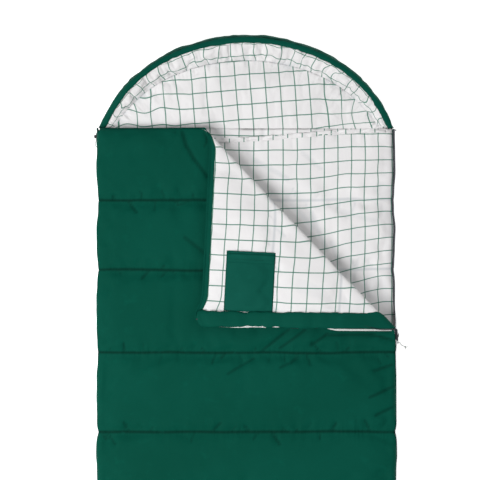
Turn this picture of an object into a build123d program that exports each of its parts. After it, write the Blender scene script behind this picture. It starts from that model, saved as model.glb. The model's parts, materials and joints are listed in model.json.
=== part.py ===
"""Hooded rectangular sleeping bag, lying on its back with one top corner of its cover folded open.

+X is across the bag towards the zip side, +Y runs from the foot to the hood, +Z is up.
The origin is at the middle of the bag's outline, on the surface that it lies on. Millimetres.
"""
import os

from build123d import *

# Overall size
body_width = 800.0
body_length = 1900.0
hood_length = 251.0
half_width = body_width / 2
foot_y = -(body_length + hood_length) / 2
neck_y = foot_y + body_length
foot_corner_radius = 24.0

# Heights of the layers
fabric = 1.2
layer_thickness = 26.0
sleeper_gap = 14.0
cover_low = layer_thickness + sleeper_gap
cover_high = cover_low + layer_thickness
flap_thickness = 24.0
flap_low = cover_high - flap_thickness
hinge_gap = 0.3
soft_edge = 2.5

# Quilting: the first rows down from the top edge, then even rows to the foot
first_seams = [193.0, 380.0, 600.0, 814.0]
even_seams = 5
seam_gap = 3.0

# The cover's folded corner
neck_gap = 3.0
cover_top_y = neck_y - neck_gap
fold_start = (-108.0, cover_top_y)
fold_end = (half_width, 285.0)
fold_height = cover_high + 0.25
fold_clearance = 0.5
fold_axis = Axis(
    (fold_start[0], fold_start[1], fold_height),
    (fold_end[0] - fold_start[0], fold_end[1] - fold_start[1], 0),
)
hem_width = 16.0

# Zip on the right side and round the foot
tape_thickness = 0.8
tape_low = 16.0
tape_high = 50.0
coil_thickness = 2.6
coil_width = 2.3
chain_height = (layer_thickness + cover_low) / 2
coil_gap = 2.2
coil_low = chain_height - coil_gap / 2 - coil_width
coil_high = chain_height + coil_gap / 2
zip_foot_start_x = -366.0
zip_stop_size = (2.8, 4.0)
neck_band_width = 13.0
pocket_band_height = 24.0
zip_top_margin = 6.0
zip_fold_margin = 14.0
draft_tube_width = 37.0
draft_tube_height = 12.0
draft_tube_edge = 7.0
snag_strip_width = 5.0

# Slider and pull tab
slider_y = 266.0
slider_length = 30.0
slider_height = 10.0
slider_plate = 1.4
slider_inner_x = half_width - 2.4
slider_outer_x = half_width + 4.6
flange = 0.9
arch_reach = 4.0
arch_width = 2.4
arch_length = 13.0
tab_thickness = 1.5
tab_length = 26.0
tab_width = 9.0
tab_window = 8.0
tab_hole_radius = 1.7

# Inner pocket
pocket_width = 126.0
pocket_height = 132.0
pocket_place = (9.0, 425.0)
pocket_turn = -3.0

# Hood
hood_gap = 0.5
shoulder_x = 205.0
shoulder_y = 206.0
leg = 60.0
wall_foot_inset = 58.0
wall_top_inset = 13.0
wall_start = 12.0
wall_slope = 0.45
wall_height = 66.0
rim_height = 8.0
cord_size = 2.4
channel_size = 3.4
cord_inset = 6.5

# Drawcord end and cord lock, beside the left neck corner
exit_tab_size = (3.8, 7.0, 12.0)
exit_tab_y = neck_y - 3.7
exit_height = 24.0
lock_size = (9.6, 8.0, 17.0)
lock_x = -half_width - 5.9
lock_y = 801.0
lock_low = 9.0
lock_wall = 1.4
lock_hole_height = 20.0
lock_hole_radius = 1.6
button_travel = 3.0
button_stem_radius = 2.9
button_head = (8.4, 6.8, 3.0)
stem_low = 16.0
spring_wire = 0.6
spring_radius = 2.2

cord_radius = 1.2
loop_route = [
    (-half_width - 1.9, exit_tab_y - 3.5, exit_height),
    (-half_width - 1.9, exit_tab_y - 8.0, exit_height),
    (lock_x, lock_y + 6.5, lock_hole_height),
    (lock_x, lock_y - 13.0, lock_hole_height),
    (-half_width - 8.6, 780.5, 17.0),
    (-half_width - 7.0, 772.5, 12.5),
    (-half_width, 772.5, 12.5),
]
pull_radius = 1.0
pull_route = [
    (half_width + 6.4, 246.4, 33.0),
    (half_width + 11.5, 246.4, 33.0),
    (half_width + 15.0, 243.5, 27.0),
    (half_width + 16.5, 241.0, 18.5),
    (half_width + 18.5, 239.0, 10.5),
    (half_width + 21.5, 237.0, 5.0),
    (half_width + 27.5, 234.0, 3.6),
]


def seam_places(top_y):
    """Y of each quilting seam, counted down from the top edge."""
    spacing = (body_length - first_seams[-1]) / even_seams
    later = [first_seams[-1] + spacing * (row + 1) for row in range(even_seams - 1)]
    return [top_y - down for down in first_seams + later]


# ---- Outlines ----


def bottom_outline(inset=0.0):
    """The bottom layer: a rectangle with rounded foot corners."""
    with BuildSketch() as outline:
        with Locations((0, (foot_y + neck_y) / 2)):
            Rectangle(body_width - 2 * inset, body_length - 2 * inset)
        fillet(outline.vertices().group_by(Axis.Y)[0], foot_corner_radius - inset)
    return outline.sketch


def cover_outline(inset=0.0):
    """The cover without its folded corner."""
    fold_run = Vector(fold_end[0] - fold_start[0], fold_end[1] - fold_start[1]).normalized()
    shift = (fold_clearance + inset) * Vector(fold_run.Y, -fold_run.X)
    start = Vector(*fold_start) + shift
    end = Vector(*fold_end) + shift
    top = cover_top_y - inset
    side = half_width - inset
    top_point = start + fold_run * ((top - start.Y) / fold_run.Y)
    side_point = end + fold_run * ((side - end.X) / fold_run.X)
    with BuildSketch() as outline:
        with BuildLine():
            Polyline(
                (-side, foot_y + inset),
                (side, foot_y + inset),
                (side_point.X, side_point.Y),
                (top_point.X, top_point.Y),
                (-side, top),
                close=True,
            )
        make_face()
        fillet(outline.vertices().group_by(Axis.Y)[0], foot_corner_radius - inset)
    return outline.sketch


def corner_outline(inset=0.0):
    """The cover's top corner beyond the fold, as it lies when the bag is closed."""
    fold_run = Vector(fold_end[0] - fold_start[0], fold_end[1] - fold_start[1]).normalized()
    shift = (fold_clearance + inset) * Vector(-fold_run.Y, fold_run.X)
    start = Vector(*fold_start) + shift
    end = Vector(*fold_end) + shift
    top = cover_top_y - inset
    side = half_width - inset
    top_point = start + fold_run * ((top - start.Y) / fold_run.Y)
    side_point = end + fold_run * ((side - end.X) / fold_run.X)
    with BuildSketch() as outline:
        with BuildLine():
            Polyline(
                (top_point.X, top_point.Y),
                (side_point.X, side_point.Y),
                (side, top),
                close=True,
            )
        make_face()
    return outline.sketch


def hood_outline(inset=0.0):
    """The hood's D outline, with straight legs that run on below the neck."""
    with BuildSketch() as outline:
        with BuildLine():
            crown = ThreePointArc(
                (-shoulder_x, neck_y + shoulder_y),
                (0, neck_y + hood_length),
                (shoulder_x, neck_y + shoulder_y),
            )
            TangentArc(crown @ 1, (half_width, neck_y), tangent=crown % 1)
            TangentArc(crown @ 0, (-half_width, neck_y), tangent=(crown % 0) * -1)
            Polyline(
                (half_width, neck_y),
                (half_width, neck_y - leg),
                (-half_width, neck_y - leg),
                (-half_width, neck_y),
            )
        make_face()
        if inset:
            offset(amount=-inset, kind=Kind.INTERSECTION, mode=Mode.REPLACE)
    return outline.sketch


def keep_hood_profile(low, high):
    """Keep what lies above the neck and between two copies of the wall's sloping top edge."""
    near = neck_y + hood_gap
    start = neck_y + wall_start
    full = start + (wall_height - layer_thickness) / wall_slope
    far = neck_y + hood_length + 10
    with BuildSketch(Plane.YZ) as profile:
        with BuildLine():
            Polyline(
                (near, layer_thickness + high),
                (start, layer_thickness + high),
                (full, wall_height + high),
                (far, wall_height + high),
                (far, wall_height + low),
                (full, wall_height + low),
                (start, layer_thickness + low),
                (near, layer_thickness + low),
                close=True,
            )
        make_face()
    extrude(profile.sketch, amount=half_width + 10, both=True, mode=Mode.INTERSECT)


def keep_above_neck():
    """Cut the open part off square at the neck."""
    with Locations((0, neck_y + hood_gap + hood_length, 0)):
        Box(2 * body_width, 2 * hood_length, 400, mode=Mode.INTERSECT)


def quilt_cuts(top_y):
    """Cut the open part into channels at the quilting seams."""
    with Locations([(0, y, 0) for y in seam_places(top_y)]):
        Box(2 * body_width, seam_gap, 400, mode=Mode.SUBTRACT)


def zip_strip(inner, outer, low, high, top):
    """A strip that follows the right edge and the foot, from the given top down and round."""
    with BuildPart() as strip:
        with BuildSketch(Plane.XY.offset(low)):
            add(bottom_outline(-outer))
            add(bottom_outline(-inner), mode=Mode.SUBTRACT)
        extrude(amount=high - low)
        with Locations((0, (foot_y + top) / 2 - 50, 0)):
            Box(2 * body_width, top - foot_y + 100, 400, mode=Mode.INTERSECT)
        with Locations((zip_foot_start_x - body_width, 0, 0)):
            Box(2 * body_width, 2 * body_length, 400, mode=Mode.SUBTRACT)
    return strip.part


# ---- Bottom layer ----


def bottom_shell():
    """Outer fabric of the underside, turned up round the edges."""
    with BuildPart() as shell:
        with BuildSketch():
            add(bottom_outline())
        extrude(amount=layer_thickness)
        lower_edges = shell.edges().group_by(Axis.Z)[0]
        fillet(lower_edges, soft_edge)
        with BuildSketch(Plane.XY.offset(fabric)):
            add(bottom_outline(fabric))
        extrude(amount=layer_thickness, mode=Mode.SUBTRACT)
        with BuildSketch(Plane.XY.offset(layer_thickness)):
            with Locations((-half_width + fabric / 2, (foot_y + neck_y) / 2)):
                Rectangle(fabric, body_length - 2 * foot_corner_radius)
        extrude(amount=chain_height - layer_thickness - hinge_gap / 2)
    return shell.part


def bottom_batting():
    """Insulation of the bottom layer, one solid for each quilted channel."""
    with BuildPart() as batting:
        with BuildSketch(Plane.XY.offset(fabric)):
            add(bottom_outline(fabric))
        extrude(amount=layer_thickness - 2 * fabric)
        quilt_cuts(neck_y)
    return batting.part


def bottom_lining():
    """Lining that the sleeper lies on."""
    with BuildPart() as lining:
        with BuildSketch(Plane.XY.offset(layer_thickness - fabric)):
            add(bottom_outline(fabric))
        extrude(amount=fabric)
    return lining.part


def neck_band():
    """Strip of lining over the seam between the body and the hood."""
    with BuildPart() as band:
        with BuildSketch(Plane.XY.offset(layer_thickness)):
            with Locations((0, neck_y - neck_band_width / 2)):
                Rectangle(body_width - 40, neck_band_width)
        extrude(amount=fabric)
    return band.part


def zip_stop(low):
    """Moulded stop at the top end of one half of the zip."""
    across, along = zip_stop_size
    place = (half_width + tape_thickness + across / 2, cover_top_y - zip_top_margin + 2.2, low + coil_width / 2)
    with BuildPart() as stop:
        with Locations(place):
            Box(across, along, coil_width)
        fillet(stop.edges().filter_by(Axis.Y), 0.5)
    return stop.part


# ---- Cover ----


def cover_shell():
    """Outer fabric of the cover, turned down round the edges, with its corner left to the flap."""
    with BuildPart() as shell:
        with BuildSketch(Plane.XY.offset(cover_low)):
            add(cover_outline())
        extrude(amount=layer_thickness)
        upper_edges = shell.edges().group_by(Axis.Z)[-1]
        fillet(upper_edges, soft_edge)
        with BuildSketch(Plane.XY.offset(cover_low)):
            add(cover_outline(fabric))
        extrude(amount=layer_thickness - fabric, mode=Mode.SUBTRACT)
        with BuildSketch(Plane.XY.offset(chain_height + hinge_gap / 2)):
            with Locations((-half_width + fabric / 2, (foot_y + cover_top_y) / 2)):
                Rectangle(fabric, cover_top_y - foot_y - 2 * foot_corner_radius)
        extrude(amount=cover_low - chain_height - hinge_gap / 2)
    return shell.part


def cover_batting():
    """Insulation of the cover, one solid for each quilted channel."""
    with BuildPart() as batting:
        with BuildSketch(Plane.XY.offset(cover_low + fabric)):
            add(cover_outline(fabric))
        extrude(amount=layer_thickness - 2 * fabric)
        quilt_cuts(cover_top_y)
    return batting.part


def cover_lining():
    """Lining on the underside of the cover."""
    with BuildPart() as lining:
        with BuildSketch(Plane.XY.offset(cover_low)):
            add(cover_outline(fabric))
        extrude(amount=fabric)
    return lining.part


def cover_hem():
    """Shell fabric turned under along the cover's top edge."""
    start = -half_width + 6
    end = fold_start[0] - hem_width - 2
    with BuildPart() as hem:
        with BuildSketch(Plane.XY.offset(cover_low - fabric)):
            with Locations(((start + end) / 2, cover_top_y - hem_width / 2)):
                Rectangle(end - start, hem_width)
        extrude(amount=fabric)
    return hem.part


def draft_tube(low_y, high_y, high):
    """Padded tube that hangs inside the zip, seen from its end as a flattened round."""
    centre_x = half_width - draft_tube_edge - draft_tube_width / 2
    with BuildPart() as tube:
        with BuildSketch(Plane.XZ.offset(-low_y)):
            with Locations((centre_x, high - draft_tube_height / 2)):
                RectangleRounded(draft_tube_width, draft_tube_height, draft_tube_height / 2 - 0.6)
        extrude(amount=-(high_y - low_y))
    return tube.part


# ---- Folded corner, each piece made where it lies in the closed bag and then folded over ----


def folded(part):
    """Turn a piece of the corner half a turn about the fold."""
    return part.rotate(fold_axis, 180)


def flap_shell():
    """Outer fabric of the corner."""
    with BuildPart() as shell:
        with BuildSketch(Plane.XY.offset(flap_low)):
            add(corner_outline())
        extrude(amount=flap_thickness)
        upper_edges = shell.edges().group_by(Axis.Z)[-1]
        fillet(upper_edges, soft_edge)
        with BuildSketch(Plane.XY.offset(flap_low)):
            add(corner_outline(fabric))
        extrude(amount=flap_thickness - fabric, mode=Mode.SUBTRACT)
    return folded(shell.part)


def flap_batting():
    """Insulation of the corner, in the cover's own channels."""
    with BuildPart() as batting:
        with BuildSketch(Plane.XY.offset(flap_low + fabric)):
            add(corner_outline(fabric))
        extrude(amount=flap_thickness - 2 * fabric)
        quilt_cuts(cover_top_y)
    return folded(batting.part)


def flap_lining():
    """Lining of the corner, which faces up when it is folded back."""
    with BuildPart() as lining:
        with BuildSketch(Plane.XY.offset(flap_low)):
            add(corner_outline(fabric))
        extrude(amount=fabric)
    return folded(lining.part)


def flap_hem():
    """Shell fabric turned over along the corner's top edge."""
    start = fold_start[0] + 2 * hem_width
    end = half_width - draft_tube_edge - draft_tube_width - 2
    with BuildPart() as hem:
        with BuildSketch(Plane.XY.offset(flap_low - fabric)):
            with Locations(((start + end) / 2, cover_top_y - hem_width / 2)):
                Rectangle(end - start, hem_width)
        extrude(amount=fabric)
    return folded(hem.part)


def flap_draft_tube():
    """Padded tube inside the zip along the corner's side edge."""
    return folded(draft_tube(fold_end[1] + 60, cover_top_y - 3, flap_low))


def flap_zip_piece(inner, outer, low, high):
    """A strip of the zip along the corner's side edge."""
    start = fold_end[1] + zip_fold_margin
    end = cover_top_y - zip_top_margin
    with BuildPart() as strip:
        with Locations((half_width + (inner + outer) / 2, (start + end) / 2, (low + high) / 2)):
            Box(outer - inner, end - start, high - low)
    return folded(strip.part)


def snag_strip():
    """Stiff woven strip that keeps the lining out of the zip."""
    start = fold_end[1] + 30
    end = cover_top_y - 4
    centre_x = half_width - 0.6 - snag_strip_width / 2
    with BuildPart() as strip:
        with BuildSketch(Plane.XY.offset(flap_low - 0.8)):
            with Locations((centre_x, (start + end) / 2)):
                Rectangle(snag_strip_width, end - start)
        extrude(amount=0.8)
    return folded(strip.part)


def inner_pocket():
    """Flat patch pocket sewn on the corner's lining."""
    top_of_flap = 2 * fold_height - flap_low
    with BuildPart() as pocket:
        with BuildSketch(Plane.XY.offset(top_of_flap)):
            with Locations(Location((*pocket_place, 0), (0, 0, pocket_turn))):
                RectangleRounded(pocket_width, pocket_height, 4)
        extrude(amount=fabric)
    return pocket.part


def pocket_band():
    """Doubled band across the mouth of the pocket, with its closure tape behind it."""
    top_of_pocket = 2 * fold_height - flap_low + fabric
    place = Location((*pocket_place, 0), (0, 0, pocket_turn))
    with BuildPart() as pocket_top:
        with BuildSketch(Plane.XY.offset(top_of_pocket)):
            with Locations(place * Location((0, (pocket_height - pocket_band_height) / 2, 0))):
                RectangleRounded(pocket_width, pocket_band_height, 3)
        extrude(amount=fabric)
    return pocket_top.part


# ---- Hood ----


def hood_base_shell():
    """Outer fabric under the hood."""
    with BuildPart() as base:
        with BuildSketch():
            add(hood_outline())
        extrude(amount=fabric)
        keep_above_neck()
    return base.part


def hood_bowl(extra=0.0):
    """The hood's hollow: a D that widens from the base lining up to the rim."""
    with BuildPart() as bowl:
        with BuildSketch(Plane.XY.offset(layer_thickness - fabric)):
            add(hood_outline(wall_foot_inset + extra))
        with BuildSketch(Plane.XY.offset(wall_height)):
            add(hood_outline(wall_top_inset + extra))
        loft()
    return bowl.part


def hood_base_batting():
    """Insulation under the hood's middle."""
    with BuildPart() as batting:
        with BuildSketch(Plane.XY.offset(fabric)):
            add(hood_outline(wall_foot_inset))
        extrude(amount=layer_thickness - 2 * fabric)
        keep_above_neck()
    return batting.part


def hood_base_lining():
    """Lining of the hood's middle panel."""
    with BuildPart() as lining:
        with BuildSketch(Plane.XY.offset(layer_thickness - fabric)):
            add(hood_outline(wall_foot_inset))
        extrude(amount=fabric)
        keep_above_neck()
    return lining.part


def hood_wall_shell():
    """Outer fabric of the hood's standing wall."""
    with BuildPart() as wall:
        with BuildSketch(Plane.XY.offset(fabric)):
            add(hood_outline())
            add(hood_outline(fabric), mode=Mode.SUBTRACT)
        extrude(amount=wall_height)
        keep_hood_profile(-2 * layer_thickness - wall_height, 0)
    return wall.part


def hood_wall_batting():
    """Insulation of the standing wall, thick at its foot and thin at the rim."""
    with BuildPart() as batting:
        with BuildSketch(Plane.XY.offset(fabric)):
            add(hood_outline(fabric))
            add(hood_outline(wall_foot_inset), mode=Mode.SUBTRACT)
        extrude(amount=wall_height)
        add(hood_bowl(), mode=Mode.SUBTRACT)
        keep_hood_profile(-2 * layer_thickness - wall_height, 0)
    return batting.part


def hood_wall_lining():
    """Gathered lining on the slope between the middle panel and the rim."""
    with BuildPart() as lining:
        add(hood_bowl())
        add(hood_bowl(fabric * 1.5), mode=Mode.SUBTRACT)
        with Locations((0, 0, layer_thickness + wall_height)):
            Box(2 * body_width, 4 * body_length, 2 * wall_height, mode=Mode.INTERSECT)
        keep_hood_profile(-2 * layer_thickness - wall_height, 0)
    return lining.part


def hood_ring(inset, width, low, high):
    """A ring that follows the rim, between two heights above the wall's top edge."""
    with BuildPart() as ring:
        with BuildSketch():
            add(hood_outline(inset))
            add(hood_outline(inset + width), mode=Mode.SUBTRACT)
        extrude(amount=2 * wall_height)
        keep_hood_profile(low, high)
    return ring.part


def hood_rim():
    """Channel of shell fabric along the rim, which the drawcord runs in."""
    middle = rim_height / 2
    with BuildPart() as rim:
        add(hood_ring(0, wall_top_inset, 0, rim_height))
        add(
            hood_ring(
                cord_inset - channel_size / 2,
                channel_size,
                middle - channel_size / 2,
                middle + channel_size / 2,
            ),
            mode=Mode.SUBTRACT,
        )
    return rim.part


def hood_drawcord():
    """Drawcord inside the rim's channel."""
    middle = rim_height / 2
    return hood_ring(
        cord_inset - cord_size / 2, cord_size, middle - cord_size / 2, middle + cord_size / 2
    )


# ---- Slider and pull ----


def zip_slider():
    """Die-cast slider: two plates joined by a post, flanges round the coils, and an arch."""
    outer_face = slider_outer_x + slider_plate
    with BuildPart() as slider:
        for centre_x in (slider_inner_x + slider_plate / 2, slider_outer_x + slider_plate / 2):
            with BuildSketch(Plane.YZ.offset(centre_x - slider_plate / 2)):
                with Locations((slider_y, chain_height)):
                    RectangleRounded(slider_length, slider_height, 2.4)
            extrude(amount=slider_plate)
        post_length = 8.0
        with Locations(
            (
                (slider_inner_x + slider_outer_x + slider_plate) / 2,
                slider_y + slider_length / 2 - post_length / 2 - 2,
                chain_height,
            )
        ):
            Box(slider_outer_x - slider_inner_x, post_length, 1.6)
        for side in (-1, 1):
            with Locations(
                (
                    slider_outer_x - 1.6,
                    slider_y,
                    chain_height + side * (slider_height - flange) / 2,
                )
            ):
                Box(3.4, slider_length - 6, flange)
        with BuildSketch(Plane.XY.offset(chain_height - arch_width / 2)):
            with Locations((outer_face, slider_y)):
                SlotOverall(arch_length, 2 * arch_reach, rotation=90)
                SlotOverall(arch_length - 3.2, 2 * arch_reach - 3.2, rotation=90, mode=Mode.SUBTRACT)
            with Locations((outer_face - arch_reach - 0.5, slider_y)):
                Rectangle(2 * arch_reach + 1, 2 * arch_length, mode=Mode.SUBTRACT)
        extrude(amount=arch_width)
    return slider.part


def tab_centre_x():
    """Middle of the pull tab's plate, between the slider's face and the arch."""
    return slider_outer_x + slider_plate + 0.4 + tab_thickness / 2


def pull_tab():
    """Flat pull tab: a window round the arch at one end, a cord hole at the other."""
    centre_x = tab_centre_x()
    top_y = slider_y + 2.6
    with BuildPart() as tab:
        with BuildSketch(Plane.YZ.offset(centre_x - tab_thickness / 2)):
            with Locations((top_y - tab_length / 2, chain_height)):
                RectangleRounded(tab_length, tab_width, 2.2)
            with Locations((top_y - 1.6 - tab_window / 2, chain_height)):
                RectangleRounded(tab_window, 5.2, 1.2, mode=Mode.SUBTRACT)
            with Locations((top_y - tab_length + 3.8, chain_height)):
                Circle(tab_hole_radius, mode=Mode.SUBTRACT)
        extrude(amount=tab_thickness)
    return tab.part


# ---- Cords ----


def cord_path(route):
    """Straight runs joined by tangent arcs, each as large as its two runs allow."""
    points = [Vector(*point) for point in route]
    radii = []
    for before, corner, after in zip(points, points[1:], points[2:]):
        turn = (corner - before).get_angle(after - corner)
        shorter = min((corner - before).length, (after - corner).length)
        radii.append(0.45 * shorter / tan_degrees(turn / 2))
    print("cord radii", [round(radius, 1) for radius in radii])
    return FilletPolyline(*points, radius=radii)


def tan_degrees(angle):
    """Tangent of an angle in degrees."""
    direction = Vector(1, 0).rotate(Axis.Z, angle)
    return direction.Y / direction.X


def cord(route, radius):
    """Round cord along a route."""
    with BuildPart() as tube:
        with BuildLine() as line:
            cord_path(route)
        with BuildSketch(Plane(origin=line.wire() @ 0, z_dir=line.wire() % 0)):
            Circle(radius)
        sweep()
    length = line.wire().length
    section = Circle(radius, mode=Mode.PRIVATE).area
    print("cord", round(length, 1), "volume", round(tube.part.volume, 1), "of", round(length * section, 1))
    return tube.part


def cord_exit_tab():
    """Webbing tab sewn over the drawcord's exit at the left neck corner."""
    with BuildPart() as tab:
        with Locations((-half_width - exit_tab_size[0] / 2, exit_tab_y, exit_height)):
            Box(*exit_tab_size)
        fillet(tab.edges().filter_by(Axis.Y).group_by(Axis.X)[0], 1.2)
    return tab.part


def cord_lock():
    """Body of the cord lock: a block with a well for the button and a hole for the cord."""
    middle = lock_low + lock_size[2] / 2
    with BuildPart() as lock:
        with Locations((lock_x, lock_y, middle)):
            Box(*lock_size)
        fillet(lock.edges().filter_by(Axis.Z), 2.2)
        with BuildSketch(Plane.XY.offset(lock_low + lock_wall)):
            with Locations((lock_x, lock_y)):
                Circle(button_stem_radius + 0.25)
        extrude(amount=lock_size[2], mode=Mode.SUBTRACT)
        with BuildSketch(Plane.XZ.offset(-lock_y)):
            with Locations((lock_x, lock_hole_height)):
                Circle(lock_hole_radius)
        extrude(amount=lock_size[1], both=True, mode=Mode.SUBTRACT)
    return lock.part


def lock_button():
    """Button and stem, with a slot that clears the cord over the whole press."""
    lock_high = lock_low + lock_size[2]
    head_low = lock_high + button_travel + 0.2
    with BuildPart() as button:
        with BuildSketch(Plane.XY.offset(stem_low)):
            with Locations((lock_x, lock_y)):
                Circle(button_stem_radius)
        extrude(amount=head_low - stem_low)
        with Locations((lock_x, lock_y, head_low + button_head[2] / 2)):
            Box(*button_head)
        with BuildSketch(Plane.XZ.offset(-lock_y)):
            with Locations((lock_x, lock_hole_height + button_travel / 2)):
                SlotOverall(2 * lock_hole_radius + button_travel, 2 * lock_hole_radius, rotation=90)
        extrude(amount=lock_size[1], both=True, mode=Mode.SUBTRACT)
    return button.part


def lock_spring():
    """Coil spring under the button's stem."""
    low = lock_low + lock_wall + spring_wire / 2 + 0.05
    high = stem_low - spring_wire / 2 - 0.05
    with BuildPart() as spring:
        with BuildLine(Plane((lock_x, lock_y, low))) as coil:
            Helix(pitch=(high - low) / 3, height=high - low, radius=spring_radius)
        with BuildSketch(Plane(origin=coil.wire() @ 0, z_dir=coil.wire() % 0)):
            Circle(spring_wire / 2)
        sweep(is_frenet=True)
    return spring.part


def pull_knot():
    """Knot at the end of the pull cord."""
    knot_radius = 2.6
    with BuildPart() as knot:
        end = Vector(*pull_route[-1])
        run = (end - Vector(*pull_route[-2])).normalized()
        with BuildSketch(Plane(origin=end, z_dir=run)) as face:
            Circle(pull_radius + 0.3)
        with BuildSketch(Plane(origin=end + run * 2.4, z_dir=run)):
            Circle(knot_radius)
        with BuildSketch(Plane(origin=end + run * 4.8, z_dir=run)):
            Circle(pull_radius + 0.4)
        loft()
    return knot.part


pieces = {
    "bottom_shell": bottom_shell(),
    "bottom_batting": bottom_batting(),
    "bottom_lining": bottom_lining(),
    "neck_band": neck_band(),
    "zip_tape_bottom": zip_strip(0, tape_thickness, tape_low, coil_low + coil_width, cover_top_y),
    "zip_coil_bottom": zip_strip(
        tape_thickness,
        tape_thickness + coil_thickness,
        coil_low,
        coil_low + coil_width,
        cover_top_y - zip_top_margin,
    ),
    "zip_stop_bottom": zip_stop(coil_low),
    "cover_shell": cover_shell(),
    "cover_batting": cover_batting(),
    "cover_lining": cover_lining(),
    "cover_hem": cover_hem(),
    "draft_tube_side": draft_tube(foot_y + 45, fold_end[1] - 45, cover_low),
    "zip_tape_cover": zip_strip(0, tape_thickness, coil_high, tape_high, fold_end[1] - 2),
    "zip_coil_cover": zip_strip(
        tape_thickness,
        tape_thickness + coil_thickness,
        coil_high,
        coil_high + coil_width,
        fold_end[1] - 2,
    ),
    "flap_shell": flap_shell(),
    "flap_batting": flap_batting(),
    "flap_lining": flap_lining(),
    "flap_hem": flap_hem(),
    "draft_tube_flap": flap_draft_tube(),
    "zip_tape_flap": flap_zip_piece(0, tape_thickness, coil_high, tape_high),
    "zip_coil_flap": flap_zip_piece(
        tape_thickness, tape_thickness + coil_thickness, coil_high, coil_high + coil_width
    ),
    "zip_stop_flap": folded(zip_stop(coil_high)),
    "snag_strip": snag_strip(),
    "inner_pocket": inner_pocket(),
    "pocket_band": pocket_band(),
    "hood_base_shell": hood_base_shell(),
    "hood_base_batting": hood_base_batting(),
    "hood_base_lining": hood_base_lining(),
    "hood_wall_shell": hood_wall_shell(),
    "hood_wall_batting": hood_wall_batting(),
    "hood_wall_lining": hood_wall_lining(),
    "hood_rim": hood_rim(),
    "hood_drawcord": hood_drawcord(),
    "zip_slider": zip_slider(),
    "pull_tab": pull_tab(),
    "pull_cord": cord(pull_route, pull_radius),
    "pull_knot": pull_knot(),
    "cord_exit_tab": cord_exit_tab(),
    "drawcord_loop": cord(loop_route, cord_radius),
    "cord_lock": cord_lock(),
    "lock_button": lock_button(),
    "lock_spring": lock_spring(),
}

os.makedirs("parts", exist_ok=True)
for name, piece in pieces.items():
    piece.label = name
    export_step(piece, f"parts/{name}.step")
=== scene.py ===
"""Looks of the hooded rectangular sleeping bag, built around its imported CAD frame. Metres, +Z up."""
import json
import math

import bpy
import numpy as np
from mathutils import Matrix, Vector
from mathutils.bvhtree import BVHTree


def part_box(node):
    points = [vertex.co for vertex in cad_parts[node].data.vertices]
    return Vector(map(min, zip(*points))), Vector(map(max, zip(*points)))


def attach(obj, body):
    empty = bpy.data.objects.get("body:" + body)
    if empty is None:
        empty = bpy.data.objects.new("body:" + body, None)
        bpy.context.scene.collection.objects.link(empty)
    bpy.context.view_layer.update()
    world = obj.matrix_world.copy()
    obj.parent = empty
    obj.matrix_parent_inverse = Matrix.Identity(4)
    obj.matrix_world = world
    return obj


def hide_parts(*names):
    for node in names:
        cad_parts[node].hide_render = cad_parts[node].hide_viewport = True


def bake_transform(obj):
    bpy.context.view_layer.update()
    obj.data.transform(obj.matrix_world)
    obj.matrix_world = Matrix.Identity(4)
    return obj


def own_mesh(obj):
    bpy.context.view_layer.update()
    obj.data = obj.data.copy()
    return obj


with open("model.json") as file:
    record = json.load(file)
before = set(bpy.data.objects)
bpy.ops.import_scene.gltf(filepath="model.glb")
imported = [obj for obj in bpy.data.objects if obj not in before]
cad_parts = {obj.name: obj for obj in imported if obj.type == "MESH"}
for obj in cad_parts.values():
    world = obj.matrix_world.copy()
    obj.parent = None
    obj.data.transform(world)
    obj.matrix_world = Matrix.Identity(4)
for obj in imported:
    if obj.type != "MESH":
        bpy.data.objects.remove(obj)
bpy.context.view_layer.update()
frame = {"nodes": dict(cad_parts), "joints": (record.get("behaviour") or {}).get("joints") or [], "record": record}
rng = np.random.default_rng(7)

# ---- Places read from the frame ----
bottom_lo, bottom_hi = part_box("bottom_shell")
joints = {joint["name"]: joint for joint in frame["joints"]}
half_width = bottom_hi.x
foot_y = bottom_lo.y
neck_y = bottom_hi.y
cover_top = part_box("cover_shell")[1].y
bed_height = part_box("bottom_lining")[1].z
cover_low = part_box("cover_lining")[0].z

# ---- Driving sizes of the fabric ----
CLOTH = 0.0008
GRID = 0.012
CHECK = 0.0393
LINE_WIDTH = 0.0028
FOOT_RADIUS = 0.024
TOP_RADIUS = 0.016
SIM_FRAMES = 22
STITCH_LIFT = 0.0004
SLIDE_LIMIT = 0.006
NECK_CLEARANCE = 0.0006
UPWARD = np.array([0.0, 0.0, 1.0])


def node_seams(node):
    """Y of each quilting seam, read from the gaps between a node's channels along its left side."""
    points = [v.co for v in frame["nodes"][node].data.vertices]
    left = min(co.x for co in points) + 0.0002
    ys = np.unique(np.round([co.y for co in points if co.x < left], 4))
    gaps = np.diff(ys)
    return [float((a + b) / 2) for a, b, gap in zip(ys, ys[1:], gaps) if 0.002 < gap < 0.004]


def smooth(value, low, high):
    """Smooth step from 0 at low to 1 at high."""
    t = np.clip((value - low) / (high - low), 0.0, 1.0)
    return t * t * (3 - 2 * t)


# ---- Smooth noise in numpy ----
NOISE_GRID = rng.standard_normal((64, 64))


def noise2(x, y, seed=0):
    """Smooth value noise of unit spacing, about -1 to 1."""
    shift = seed * 17.31
    x = np.asarray(x, float) + shift
    y = np.asarray(y, float) + 2.7 * shift
    ix = np.floor(x).astype(int)
    iy = np.floor(y).astype(int)
    fx = x - ix
    fy = y - iy
    fx = fx * fx * (3 - 2 * fx)
    fy = fy * fy * (3 - 2 * fy)

    def at(i, j):
        return NOISE_GRID[i % 64, j % 64]

    low = at(ix, iy) * (1 - fx) + at(ix + 1, iy) * fx
    high = at(ix, iy + 1) * (1 - fx) + at(ix + 1, iy + 1) * fx
    return np.clip((low * (1 - fy) + high * fy) * 0.8, -1.6, 1.6)


# ---- Meshes ----


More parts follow.
